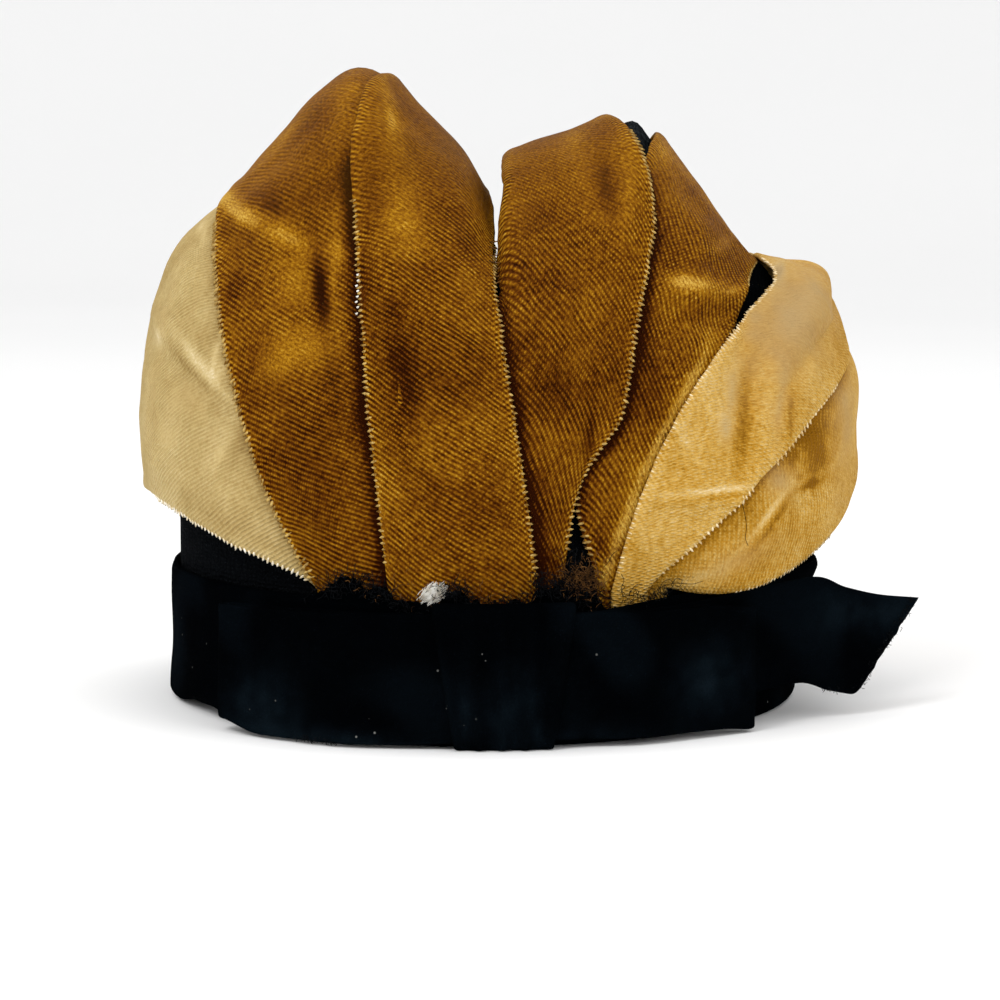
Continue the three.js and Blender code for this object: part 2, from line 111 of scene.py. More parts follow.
def records(kind: type[Row], table: Iterable[Sequence]) -> tuple[Row, ...]:
    """One record of a kind for each row of a table."""
    return tuple(kind(*row) for row in table)


def step(low: float, high: float, value: np.ndarray | float) -> np.ndarray:
    """Smooth step from 0 at low to 1 at high."""
    t = np.clip((np.asarray(value, float) - low) / (high - low), 0.0, 1.0)
    return t * t * (3.0 - 2.0 * t)


def bump_at(value: np.ndarray | float, middle: float, width: float) -> np.ndarray:
    """A bell of height 1 at middle."""
    return np.exp(-(((np.asarray(value, float) - middle) / width) ** 2))


def oval_depth(half_x: float, half_y: float, x: np.ndarray | float) -> np.ndarray:
    """How far back an oval lies at x, as a positive depth."""
    return half_y * np.sqrt(np.maximum(0.0, 1.0 - (np.asarray(x, float) / half_x) ** 2))


def unit(vectors: np.ndarray) -> np.ndarray:
    """Vectors scaled to length 1."""
    return vectors / np.maximum(np.linalg.norm(vectors, axis=-1, keepdims=True), 1e-12)


def together(*parts: np.ndarray | float) -> np.ndarray:
    """Numbers that stand side by side as the coordinates of points or pairs."""
    return np.stack(np.broadcast_arrays(*parts), axis=-1)


def lengths(points: np.ndarray) -> np.ndarray:
    """How far along a line of points each of them stands."""
    return np.concatenate([[0], np.cumsum(np.linalg.norm(np.diff(points, axis=0), axis=-1))])


def half_wall(edge: np.ndarray, wall: float, roll: float) -> np.ndarray:
    """Half the thickness of a cloth at a distance from its edge, which is rounded over a roll."""
    return wall / 2 * np.sqrt(1 - (1 - np.minimum(edge, roll) / roll) ** 2)


class Curve:
    """A monotone cubic through points, held level past both ends."""

    def __init__(self, xs: Sequence[float], ys: Sequence[float]) -> None:
        """Work out the slopes.

        Args:
            xs: Places, rising.
            ys: Values at those places.
        """
        self.xs, self.ys = np.array(xs, float), np.array(ys, float)
        gaps, slopes = np.diff(self.xs), np.diff(self.ys) / np.diff(self.xs)
        bends = np.zeros_like(self.xs)
        bends[0], bends[-1] = slopes[0], slopes[-1]
        for i in range(1, len(self.xs) - 1):
            if slopes[i - 1] * slopes[i] > 0:
                after, before = 2 * gaps[i] + gaps[i - 1], gaps[i] + 2 * gaps[i - 1]
                bends[i] = (after + before) / (after / slopes[i - 1] + before / slopes[i])
        self.gaps, self.bends = gaps, bends

    def __call__(self, values: np.ndarray | float) -> np.ndarray:
        """Return the curve's height at the values."""
        x = np.clip(np.asarray(values, float), self.xs[0], self.xs[-1])
        i = np.clip(np.searchsorted(self.xs, x, side="right") - 1, 0, len(self.xs) - 2)
        gap = self.gaps[i]
        t = (x - self.xs[i]) / gap
        rise = (1 + 2 * t) * (1 - t) ** 2 * self.ys[i] + t * t * (3 - 2 * t) * self.ys[i + 1]
        lean = t * (1 - t) ** 2 * self.bends[i] + t * t * (t - 1) * self.bends[i + 1]
        return rise + gap * lean


# The fan that all petals follow


@dataclass(frozen=True)
class FanRow:
    """One fibre of the fan: its direction from the front, where its foot is, and how far it reaches.

    low is the reach that its lower half follows, where the lobes of the crest have died out.
    """

    direction: float
    foot: float
    crest: float
    low: float


FAN_ROWS = records(FanRow, (
    (-12.0, 0.0490, 0.0880, 0.0900), (6.0, 0.0464, 0.1004, 0.1010), (13.0, 0.0454, 0.1052, 0.1054),
    (20.0, 0.0444, 0.1093, 0.1090), (28.0, 0.0434, 0.1153, 0.1130), (33.0, 0.0426, 0.1163, 0.1153),
    (37.0, 0.0418, 0.1176, 0.1160), (40.0, 0.0409, 0.1214, 0.1165), (44.5, 0.0390, 0.1147, 0.1155),
    (48.0, 0.0375, 0.1107, 0.1140), (53.5, 0.0352, 0.1129, 0.1145), (61.5, 0.0318, 0.1196, 0.1180),
    (67.5, 0.0293, 0.1263, 0.1205), (71.0, 0.0275, 0.1288, 0.1205), (73.6, 0.0262, 0.1254, 0.1195),
    (78.0, 0.0240, 0.1183, 0.1170), (85.0, 0.0185, 0.1116, 0.1125), (86.3, 0.0170, 0.1098, 0.1120),
    (89.0, 0.0128, 0.0950, 0.1110), (91.0, 0.0090, 0.0980, 0.1120), (95.0, -0.0020, 0.1122, 0.1170),
    (97.4, -0.0090, 0.1182, 0.1200), (99.6, -0.0145, 0.1240, 0.1230), (101.8, -0.0190, 0.1320, 0.1255),
    (103.2, -0.0216, 0.1360, 0.1260), (104.7, -0.0238, 0.1372, 0.1265), (109.0, -0.0285, 0.1339, 0.1265),
    (116.4, -0.0330, 0.1262, 0.1240), (125.0, -0.0362, 0.1210, 0.1200), (131.5, -0.0380, 0.1209, 0.1180),
    (139.6, -0.0398, 0.1157, 0.1138), (155.3, -0.0424, 0.1034, 0.1034), (167.4, -0.0440, 0.0950, 0.0955),
    (190.0, -0.0460, 0.0910, 0.0910),
))


class Fan:
    """The form that the petals share: fibres from the front of the band over the head to its back.

    A place on it is a direction, in degrees as the front shows it (180 left, 90 up, 0 right), and a sweep, in
    degrees from the front foot (0) over the crest (90) to the back foot (180). The numbers are the height of
    the hub that the fibres point from, the heights of their feet and stems, the half sizes of the oval that
    the feet stand on, and the rises between which the reach goes over from low to crest.
    """

    hub = 0.0370
    foot_z = 0.0380
    stem_z = 0.0260
    half_x = 0.0846
    half_y = 0.0914
    low_end = 0.55
    crest_start = 0.95

    def __init__(self, fibres: Sequence[FanRow]) -> None:
        """Make the curves of the fan's fibres, and the points of its front side."""
        directions = [row.direction for row in fibres]
        self.foot, self.crest, self.low = (
            Curve(directions, [getattr(row, key) for row in fibres]) for key in ("foot", "crest", "low")
        )
        self.places = np.meshgrid(np.linspace(-10, 188, 500), np.linspace(0, 88, 260), indexing="ij")
        self.front = self.point(*self.places)

    def point(self, direction: np.ndarray, sweep: np.ndarray) -> np.ndarray:
        """Return points of the fan. Sweeps below 0 and past 180 are stems, straight down behind the band."""
        turn = np.radians(np.clip(sweep, 0.0, 180.0))
        rise = np.sin(turn)
        lobes = step(self.low_end, self.crest_start, rise)
        reach = self.low(direction) * (1 - lobes) + self.crest(direction) * lobes
        foot = self.foot(direction)
        angle = np.radians(direction)
        past = np.maximum(0.0, np.maximum(-sweep, sweep - 180.0)) * 0.001
        return together(
            foot + (reach * np.cos(angle) - foot) * rise,
            -oval_depth(self.half_x, self.half_y, foot) * np.cos(turn),
            self.foot_z + (self.hub + reach * np.sin(angle) - self.foot_z) * rise - past,
        )

    def spot(self, x: float, z: float, off: float) -> np.ndarray:
        """The point of the front of the fan that stands at x and z, moved outward by off."""
        direction, sweep = self.places
        near = np.argmin((self.front[..., 0] - x) ** 2 + (self.front[..., 2] - z) ** 2)
        place = np.unravel_index(near, sweep.shape)
        point = self.front[place] + self.normal(direction[place], sweep[place]) * off
        return point + np.array([x, 0.0, z]) - self.front[place] * np.array([1.0, 0.0, 1.0])

    def normal(self, direction: np.ndarray, sweep: np.ndarray) -> np.ndarray:
        """Return the fan's outward normals, level at the feet."""
        turn = np.clip(sweep, 0.5, 179.5)
        across = self.point(direction + 0.4, turn) - self.point(direction - 0.4, turn)
        along = self.point(direction, turn + 0.5) - self.point(direction, turn - 0.5)
        normals = np.cross(along, across)
        normals[..., 2] *= step(0.0, 25.0, np.minimum(sweep, 180.0 - sweep))
        return unit(normals)


# Shader expressions


class Term:
    """A shader socket that takes part in Python expressions."""

    def __init__(self, shader: "Shader", socket: bpy.types.NodeSocket) -> None:
        """Wrap a socket of a shader."""
        self.shader, self.socket = shader, socket

    def _math(self, operation: str, *others: "Term | float", first: bool = True) -> "Term":
        """Add a Math node of this term and others, with this term first or last."""
        values = [self, *others] if first else [*others, self]
        inputs = dict(enumerate(values))
        return self.shader.node("ShaderNodeMath", {"operation": operation}, inputs)

    def __add__(self, other: "Term | float") -> "Term":
        """Sum."""
        return self._math("ADD", other)

    __radd__ = __add__

    def __sub__(self, other: "Term | float") -> "Term":
        """Difference."""
        return self._math("SUBTRACT", other)

    def __rsub__(self, other: float) -> "Term":
        """Difference from a number."""
        return self._math("SUBTRACT", other, first=False)

    def __mul__(self, other: "Term | float") -> "Term":
        """Product."""
        return self._math("MULTIPLY", other)

    __rmul__ = __mul__

    def __truediv__(self, other: "Term | float") -> "Term":
        """Quotient."""
        return self._math("DIVIDE", other)

    def wave(self) -> "Term":
        """A sine of this term in whole turns, from 0 to 1."""
        return (self * math.tau)._math("SINE") * 0.5 + 0.5

    def clamp(self) -> "Term":
        """This term kept between 0 and 1."""
        return self.between(0.0, 1.0)

    def between(self, low: float, high: float, smooth: bool = False) -> "Term":
        """This term mapped so that low gives 0 and high gives 1, and held there."""
        kind = "SMOOTHSTEP" if smooth else "LINEAR"
        inputs = {"Value": self, "From Min": low, "From Max": high}
        return self.shader.node("ShaderNodeMapRange", {"interpolation_type": kind, "clamp": True}, inputs)


class Shader:
    """A material's node tree, with one method that adds any node."""

    def __init__(self, name: str) -> None:
        """Start an empty material."""
        self.material = bpy.data.materials.new(name)
        self.material.use_nodes = True
        self.tree = self.material.node_tree
        self.tree.nodes.clear()
        self.place = self.node("ShaderNodeTexCoord", output="Object")

    def node(
        self, kind: str, settings: dict | None = None, inputs: dict | None = None, output: int | str = 0,
    ) -> Term:
        """Add a node.

        Args:
            kind: The node's type.
            settings: Its own settings, set first. stops holds a ramp's places and colours.
            inputs: Values or terms for its sockets, by name or number.
            output: The socket that is returned.

        Returns:
            The chosen output as a term.
        """
        made = self.tree.nodes.new(kind)
        for key, value in (settings or {}).items():
            if key == "stops":
                self._stops(made.color_ramp, value)
            else:
                setattr(made, key, value)
        for key, value in (inputs or {}).items():
            if isinstance(value, Term):
                self.tree.links.new(value.socket, made.inputs[key])
            else:
                made.inputs[key].default_value = value
        return Term(self, made.outputs[output])

    @staticmethod
    def _stops(ramp: bpy.types.ColorRamp, stops: Iterable[tuple[float, Color]]) -> None:
        """Set a ramp's places and colours."""
        for k, (place, color) in enumerate(stops):
            element = ramp.elements[k] if k < 2 else ramp.elements.new(place)
            element.position, element.color = place, (*color, 1.0)

    def noise(self, size: float, detail: float = 2.0, rough: float = 0.5, vector: Term | None = None) -> Term:
        """Noise from 0 to 1 whose blobs are about size metres across."""
        inputs = {"Vector": vector or self.place, "Scale": 1.0 / size, "Detail": detail, "Roughness": rough}
        return self.node("ShaderNodeTexNoise", {}, inputs)

    def uv(self, name: str) -> tuple[Term, Term]:
        """The two coordinates of a UV map."""
        vector = self.node("ShaderNodeUVMap", {"uv_map": name})
        parts = [self.node("ShaderNodeSeparateXYZ", {}, {0: vector}, output=k) for k in (0, 1)]
        return parts[0], parts[1]

    def attribute(self, name: str) -> Term:
        """A number stored on the mesh."""
        return self.node("ShaderNodeAttribute", {"attribute_name": name}, output="Fac")

    def blend(self, factor: Term | float, a: Term | Color, b: Term | Color) -> Term:
        """A mix of two colours."""
        first, second = (c if isinstance(c, Term) else (*c, 1.0) for c in (a, b))
        return self.node("ShaderNodeMix", {"data_type": "RGBA"}, {0: factor, 6: first, 7: second}, output=2)

    def ramp(self, value: Term, stops: Iterable[tuple[float, Color]]) -> Term:
        """Colours along a value from 0 to 1."""
        return self.node("ShaderNodeValToRGB", {"stops": stops}, {0: value})

    def bump(self, height: Term, distance: float, strength: float = 1.0) -> Term:
        """A normal from a height."""
        return self.node("ShaderNodeBump", {}, {"Height": height, "Distance": distance, "Strength": strength})

    def finish(self, **inputs: "Term | float | tuple") -> bpy.types.Material:
        """Join a Principled surface to the output and return the material."""
        named = {key.replace("_", " ").title().replace("Ior", "IOR"): value for key, value in inputs.items()}
        surface = self.node("ShaderNodeBsdfPrincipled", {}, named)
        end = self.tree.nodes.new("ShaderNodeOutputMaterial")
        self.tree.links.new(surface.socket, end.inputs["Surface"])
        return self.material


# Finishes


@dataclass(frozen=True)
class RibbedVelvet:
    """Ribbed velvet whose pile is crushed in places, with a bright edge where it is turned over.

    The five tones run from the depth between the ribs to the tips of the pile, at the places on the scale.
    glow tints its gloss, bloom is the colour of crushed pile with a painted sheen, and shine the colour of
    the painted highlights. base is the tone that the rest is added to: relief of the ribs, grain of the
    single tufts, clouding in broad spots, swing of the painted highlights and painted shade of the patches,
    where the pile also lies light or dark, teeth of the stitches at the hem, and seam of the painted shadow
    beside a covering edge. veil is how strongly the bloom shows.
    """

    name: str
    tones: tuple[Color, Color, Color, Color, Color]
    glow: Color
    crushed_sheen: Color
    painted_highlight: Color
    relief: float
    grain: float
    seam_shadow: float
    veil: float
    teeth: float = 0.20
    swing: float = 0.34
    clouding: float = 0.55
    base: float = 0.42
    scale: tuple[float, ...] = (0.0, 0.24, 0.47, 0.72, 1.0)
    stitch_pitch: float = 0.00155
    hem: tuple[float, float] = (0.0008, 0.0042)
    pile_height: float = 0.00045

    def material(self) -> bpy.types.Material:
        """Build the material."""
        s = Shader(self.name)
        r, t = s.uv("ribs")
        v = s.uv("cloth")[1]
        lustre, crush, shade, grid = (s.attribute(name) for name in ("lustre", "crush", "shade", "grid"))
        across = r + s.noise(0.013, 3.0) * 1.3
        along = t + s.noise(0.006, 2.0) * 1.3
        crushed = (s.noise(0.016, 3.0, 0.6) * 0.8 + crush).between(0.42, 0.95, smooth=True)
        broken = (grid + s.noise(0.014, 2.0) - 0.5).clamp()
        dots = across.wave() * (1.0 - broken * (1.0 - along.wave()))
        lay = s.node("ShaderNodeCombineXYZ", {}, {0: r * 0.0012, 1: t * 0.0005})
        fur = s.noise(0.00062, 3.0, 0.75, vector=lay) - 0.5
        grain = s.noise(0.0016, 3.0, 0.7) - 0.5
        cloud = s.noise(0.022, 4.0, 0.6) - 0.5
        uneven = s.noise(0.006, 3.0, 0.7).between(0.30, 0.70) * 0.8 + 0.5
        hem = 1.0 - s.attribute("edge").between(*self.hem, smooth=True)
        stitch = ((v + 0.6 * s.attribute("edge")) / self.stitch_pitch + s.noise(0.004, 1.0) * 0.5).wave()
        weave = (dots - 0.5 + 0.2 * broken) * uneven * (1.0 - 0.65 * crushed)
        tufts = grain * (0.8 - 0.5 * crushed) + fur * (0.75 + 0.35 * crushed)
        # Painted highlights and painted shade of the patches, and the painted shadow beside covering edges,
        # go into the tone.
        tone = (
            self.base + self.relief * weave + self.grain * tufts + self.clouding * cloud
            + lustre * (self.swing + 0.8 * fur) + hem * (0.04 + self.teeth * (stitch - 0.45))
            - self.seam_shadow * shade
        )
        color = s.ramp(tone.clamp(), tuple(zip(self.scale, self.tones)))
        # Crushed pile turns towards its colour with a painted sheen, and the strongest patches towards the
        # painted highlight colour.
        color = s.blend((crush * (self.veil + 0.25 * fur)).clamp(), color, self.crushed_sheen)
        color = s.blend(((lustre - 0.5) * (0.45 + 2.6 * fur)).clamp(), color, self.painted_highlight)
        height = dots * (0.9 - 0.6 * crushed) + grain * 0.8 + fur * 0.7 + hem * stitch * 0.3
        tint = (*self.glow, 1.0)
        normal = s.bump(height, self.pile_height, 0.9)
        return s.finish(
            base_color=color, roughness=(0.70 - 0.15 * crushed).clamp(), normal=normal, sheen_weight=0.01,
            sheen_roughness=0.35, sheen_tint=tint, specular_ior_level=0.015, specular_tint=tint,
        )


@dataclass(frozen=True)
class BlackVelvet:
    """Short black pile with a faint cold sheen, partly painted into its colour in patches, and a little lint.
    """

    name: str
    body: Color = (0.0003, 0.0004, 0.0006)
    # The colour of the painted sheen.
    painted_sheen: Color = (0.0042, 0.0078, 0.0112)
    lint: Color = (0.16, 0.16, 0.15)
    lint_grid: float = 330.0

    def material(self) -> bpy.types.Material:
        """Build the material."""
        s = Shader(self.name)
        cloud = s.noise(0.028, 4.0, 0.6).between(0.50, 0.78, smooth=True)
        pile = s.noise(0.0005, 2.0, 0.7)
        nap = s.noise(0.0030, 3.0, 0.6)
        # Painted sheen: the pile turns towards a cold colour where the mask gives it, mottled at random.
        worn = s.attribute("worn")
        sheen_share = cloud * 0.12 + nap * 0.08 + worn * 0.8
        color = s.blend(sheen_share * (0.35 + 1.1 * pile), self.body, self.painted_sheen)
        spread = {"Vector": s.place, "Scale": self.lint_grid, "Randomness": 1.0}
        speck = s.node("ShaderNodeTexVoronoi", {}, spread)
        rare = s.noise(0.012, 1.0).between(0.64, 0.70)
        color = s.blend((1.0 - speck.between(0.06, 0.12)) * rare, color, self.lint)
        normal = s.bump(pile * 0.6 + nap * 0.5, 0.00040, 0.8)
        return s.finish(
            base_color=color, roughness=0.95, normal=normal, sheen_weight=0.0004, sheen_roughness=0.30,
            sheen_tint=(0.35, 0.60, 0.85, 1.0), specular_ior_level=0.001,
        )


@dataclass(frozen=True)
class CoarseCloth:
    """The crown's charcoal cloth, woven coarsely enough to show its threads where light is painted on it."""

    name: str
    body: Color = (0.0014, 0.0017, 0.0022)
    thread: Color = (0.040, 0.048, 0.055)
    pitch: float = 0.0012

    def material(self) -> bpy.types.Material:
        """Build the material."""
        s = Shader(self.name)
        u, v = s.uv("cloth")
        wander = s.noise(0.004, 2.0) * 1.6
        weave = (u / self.pitch + wander).wave() * (v / self.pitch - wander).wave()
        fuzz = s.noise(0.0008, 3.0, 0.75)
        clump = s.noise(0.0032, 2.0, 0.6).between(0.42, 0.62)
        # Painted light: the threads show only on the lit top; elsewhere the cloth stays near black.
        lit_share = s.attribute("worn")
        lit = 0.08 + 0.92 * lit_share * (0.3 + 0.7 * clump)
        color = s.blend((weave * 0.5 + fuzz * 0.5) * lit, self.body, self.thread)
        normal = s.bump(weave + fuzz * 0.9 + clump, 0.0006, 0.9)
        return s.finish(
            base_color=color, roughness=0.95, normal=normal, sheen_weight=0.0015, sheen_roughness=0.4,
            sheen_tint=(0.4, 0.6, 0.7, 1.0), specular_ior_level=0.005,
        )


@dataclass(frozen=True)
class Thread:
    """A plain fibre or stitch whose colour varies a little along it."""

    name: str
    dark: Color
    light: Color
    size: float = 0.0016
    gloss: float = 0.2

    def material(self) -> bpy.types.Material:
        """Build the material."""
        s = Shader(self.name)
        fleck = s.noise(self.size, 2.0, 0.6).between(0.35, 0.65)
        color = s.blend(fleck, self.dark, self.light)
        normal = s.bump(s.noise(0.0004, 1.0), 0.0002, 0.5)
        return s.finish(base_color=color, roughness=0.8, normal=normal, specular_ior_level=self.gloss)


BROWN = RibbedVelvet(
    "brown_velvet",
    tones=(
        (0.018, 0.0034, 0.0007), (0.076, 0.0196, 0.0016), (0.190, 0.0690, 0.0034), (0.362, 0.1690, 0.0080),
        (0.620, 0.3850, 0.0600),
    ),
    glow=(0.95, 0.55, 0.08), crushed_sheen=(0.32, 0.162, 0.009), painted_highlight=(0.54, 0.34, 0.075),
    relief=0.47, grain=0.95, seam_shadow=0.75, veil=0.10, teeth=0.40, base=0.386,
)
PALE = RibbedVelvet(
    "pale_velvet",
    tones=(
        (0.220, 0.1300, 0.0400), (0.350, 0.2350, 0.0820), (0.490, 0.3600, 0.1500), (0.640, 0.5100, 0.2700),
        (0.900, 0.8200, 0.6600),
    ),
    glow=(1.0, 0.86, 0.62), crushed_sheen=(0.50, 0.375, 0.180), painted_highlight=(0.86, 0.78, 0.60),
    relief=0.18, grain=0.50, seam_shadow=0.30, veil=0.30, teeth=0.14, swing=0.44,
)
HONEY = RibbedVelvet(
    "honey_velvet",
    tones=(
        (0.230, 0.0950, 0.0040), (0.430, 0.2080, 0.0170), (0.580, 0.3480, 0.0780), (0.700, 0.4950, 0.2000),
        (0.920, 0.8100, 0.5900),
    ),
    glow=(1.0, 0.84, 0.55), crushed_sheen=(0.39, 0.27, 0.125), painted_highlight=(0.84, 0.72, 0.46),
    relief=0.25, grain=0.84, seam_shadow=0.40, veil=0.62, teeth=0.14, swing=0.50,
)
BLACK = BlackVelvet("black_velvet")
CROWN_CLOTH = CoarseCloth("crown_cloth")
GOLD_EDGE = Thread("gold_edge_loops", dark=(0.13, 0.058, 0.006), light=(0.52, 0.35, 0.11), gloss=0.06)
PALE_EDGE = Thread("pale_edge_loops", dark=(0.66, 0.52, 0.28), light=(0.95, 0.90, 0.78), gloss=0.1)
HONEY_EDGE = Thread("honey_edge_loops", dark=(0.42, 0.25, 0.06), light=(0.84, 0.70, 0.44), gloss=0.1)
WHITE_THREAD = Thread("white_thread", dark=(0.60, 0.55, 0.45), light=(0.97, 0.95, 0.90))
BLACK_THREAD = Thread(
    "black_thread", dark=(0.0010, 0.0011, 0.0014), light=(0.0050, 0.0058, 0.0070), gloss=0.06,
)
BROWN_FLUFF = Thread(
    "brown_fluff", dark=(0.020, 0.007, 0.0015), light=(0.19, 0.085, 0.022), size=0.0022, gloss=0.1,
)


class Dye(Enum):
    """The velvets that the petals are cut from."""

    BROWN = "brown"
    PALE = "pale"
    HONEY = "honey"

    @property
    def velvet(self) -> RibbedVelvet:
        """The petal's finish."""
        return {Dye.BROWN: BROWN, Dye.PALE: PALE, Dye.HONEY: HONEY}[self]

    @property
    def edging(self) -> Thread:
        """The finish of the loops along the petal's edges."""
        return {Dye.BROWN: GOLD_EDGE, Dye.PALE: PALE_EDGE, Dye.HONEY: HONEY_EDGE}[self]

    @property
    def slot(self) -> str:
        """The record's material slot."""
        return "brown_velvet" if self is Dye.BROWN else "pale_velvet"


# Meshes


class Workshop:
    """Makes Blender objects at the hat's place and keeps one material for each finish."""

    def __init__(self) -> None:
        """Find the hat axis in the frame."""
        low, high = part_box("band")
        self.axis = Vector((low.x + BAND.outer_x + BAND.widest, (low.y + high.y) / 2, 0.0))
        self.materials: dict[str, bpy.types.Material] = {}

    def finish(self, kind: "RibbedVelvet | BlackVelvet | CoarseCloth | Thread") -> bpy.types.Material:
        """The material of a finish, made the first time that it is asked for."""
        if kind.name not in self.materials:
            self.materials[kind.name] = kind.material()
        return self.materials[kind.name]

    def mesh(
        self, name: str, points: np.ndarray, faces: Sequence[Sequence[int]],
        maps: dict[str, np.ndarray] | None = None, numbers: dict[str, np.ndarray] | None = None,
    ) -> bpy.types.Object:
        """Make a smooth mesh object.

        Args:
            name: The object's name.
            points: Its points, from the hat axis.
            faces: Its faces, as lists of point numbers.
            maps: UV maps by name, one pair for each point.
            numbers: Values by name, one for each point.

        Returns:
            The new object, at the origin, with its place in its mesh.
        """
        mesh = bpy.data.meshes.new(name)
        places = points.reshape(-1, 3) + np.array(self.axis)
        mesh.from_pydata(places.tolist(), [], [list(face) for face in faces])
        corner = np.zeros(len(mesh.loops), dtype=np.int32)
        mesh.loops.foreach_get("vertex_index", corner)
        for key, values in (maps or {}).items():
            layer = mesh.uv_layers.new(name=key)
            layer.data.foreach_set("uv", values.reshape(-1, 2)[corner].astype(np.float32).ravel())
        for key, values in (numbers or {}).items():
            attribute = mesh.attributes.new(key, "FLOAT", "POINT")
            attribute.data.foreach_set("value", values.astype(np.float32).ravel())
        mesh.polygons.foreach_set("use_smooth", np.ones(len(mesh.polygons), dtype=bool))
        mesh.update()
        made = bpy.data.objects.new(name, mesh)
        bpy.context.scene.collection.objects.link(made)
        return made

    def dress(
        self, made: bpy.types.Object, kind: "RibbedVelvet | BlackVelvet | CoarseCloth", slot: str,
    ) -> None:
        """Give a cloth its finish and its body."""
        made.data.materials.append(self.finish(kind))
        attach(made, BODY)

    @staticmethod
    def evaluated(made: bpy.types.Object) -> None:
        """Turn an object's modifiers into its plain mesh."""
        graph = bpy.context.evaluated_depsgraph_get()
        mesh = bpy.data.meshes.new_from_object(made.evaluated_get(graph))
        made.modifiers.clear()
        made.data = mesh


def tube_faces(rows: int, around: int, closed: bool) -> list[tuple[int, ...]]:
    """Faces of a flat tube.

    Args:
        rows: How many cross sections it has.
        around: Points in a cross section, the first half of them outside from left to right.
        closed: True where the last section joins the first.

    Returns:
        The faces, outward, with strips that close both ends of an open tube.
    """
    faces = []
    for j in range(rows if closed else rows - 1):
        a, b = j * around, ((j + 1) % rows) * around
        for i in range(around):
            k = (i + 1) % around
            faces.append((a + i, a + k, b + k, b + i))
    if not closed:
        last = (rows - 1) * around
        for i in range(around // 2):
            far, near = (around - i) % around, around - i - 1
            start, end = (i + 1, i, far, near), (last + i, last + i + 1, last + near, last + far)
            faces += [tuple(dict.fromkeys(start)), tuple(dict.fromkeys(end))]
    return faces


def section(outer: np.ndarray, inner: np.ndarray) -> np.ndarray:
    """Rings of points round a cloth: its outer side from left to right, then its inner side back.

    Args:
        outer: Points [row, column, 3] whose first and last columns are the cloth's folded edges.
        inner: The same for the inner side.

    Returns:
        Points [row, around, 3] without the inner side's copies of the edges.
    """
    return np.concatenate([outer, inner[:, -2:0:-1]], axis=1)


def ring_values(values: np.ndarray) -> np.ndarray:
    """Values [row, column, ...] of a cloth's side, laid round its section."""
    return np.concatenate([values, values[:, -2:0:-1]], axis=1)


def crumple(points: np.ndarray, size: float, seed: float) -> np.ndarray:
    """Smooth noise from -1 to 1 at points, whose bumps are about size metres across."""
    flat = points.reshape(-1, 3) / size + seed
    return np.array([noise.noise(Vector(p)) for p in flat]).reshape(points.shape[:-1])


@dataclass(frozen=True)
class Dents:
    """Smooth noise all over a cloth, mostly dents: how far it goes, how wide its bumps are, and its seed."""

    depth: float
    size: float
    seed: float


def dented(points: np.ndarray, *kinds: Dents) -> np.ndarray:
    """The sum of some kinds of dents at points."""
    return sum(kind.depth * crumple(points, kind.size, kind.seed) for kind in kinds)


def settle_normals(made: bpy.types.Object, weld: float = 0.0) -> None:
    """Turn a closed mesh's faces outward, and join points that are closer than weld."""
    shape = bmesh.new()
    shape.from_mesh(made.data)
    if weld:
        bmesh.ops.remove_doubles(shape, verts=shape.verts, dist=weld)
    bmesh.ops.recalc_face_normals(shape, faces=shape.faces)
    shape.to_mesh(made.data)
    shape.free()


# Places of painted sheen on the black pile: x, z, half width, half height and strength.

SHEEN_PATCHES = (
    (-0.0560, 0.0080, 0.0080, 0.0075, 1.0), (-0.0500, 0.0015, 0.0160, 0.0030, 1.0),
    (-0.0300, 0.0010, 0.0120, 0.0025, 0.6), (0.0060, 0.0040, 0.0040, 0.0090, 0.9),
    (0.0140, 0.0050, 0.0018, 0.0100, 0.6), (-0.0040, 0.0060, 0.0016, 0.0120, 0.5),
    (0.0590, 0.0150, 0.0085, 0.0085, 1.0), (0.0300, 0.0020, 0.0150, 0.0035, 0.5),
    (0.1110, 0.0280, 0.0070, 0.0060, 1.3), (0.0960, 0.0290, 0.0080, 0.0050, 0.7),
    (-0.0860, 0.0180, 0.0030, 0.0120, 0.8), (0.0090, 0.0160, 0.0050, 0.0060, 0.4),
)
SHEEN_RAGGED = Dents(0.6, 0.004, 17.0)
CLOUDED = Dents(1.0, 0.024, 19.0)


def worn(points: np.ndarray) -> np.ndarray:
    """Painted sheen, from 0 to about 1, at points of the band and the bow: in patches and random clouds."""
    front = step(0.0, 0.03, -points[..., 1])
    amount = np.zeros(points.shape[:-1])
    for x, z, wide, tall, strength in SHEEN_PATCHES:
        across, up = (points[..., 0] - x) / wide, (points[..., 2] - z) / tall
        amount += strength * np.exp(-(across ** 2 + up ** 2))
    ragged = 0.75 + dented(points, SHEEN_RAGGED)
    around = 0.5 * step(0.1, 0.5, dented(points, CLOUDED))
    return np.clip(amount * front * ragged + around * (1 - 0.5 * front), 0.0, 1.5)


def segment_distance(points: np.ndarray, start: tuple[float, float], end: tuple[float, float]) -> np.ndarray:
    """Distance in the front view from points to a line."""
    a, b = np.array(start), np.array(end)
    place = points[..., (0, 2)]
    t = np.clip(((place - a) @ (b - a)) / max(float((b - a) @ (b - a)), 1e-9), 0.0, 1.0)
    return np.linalg.norm(place - (a + t[..., None] * (b - a)), axis=-1)


# Petals

# The sweeps at which each petal's edges are given.
STATIONS = (0, 12, 25, 50, 70, 90, 120, 155, 180)


@dataclass(frozen=True)
class Fold:
    """A fold or dent along a line of the front view: it stands out where rise is above 0."""

    start: tuple[float, float]
    end: tuple[float, float]
    width: float
    rise: float


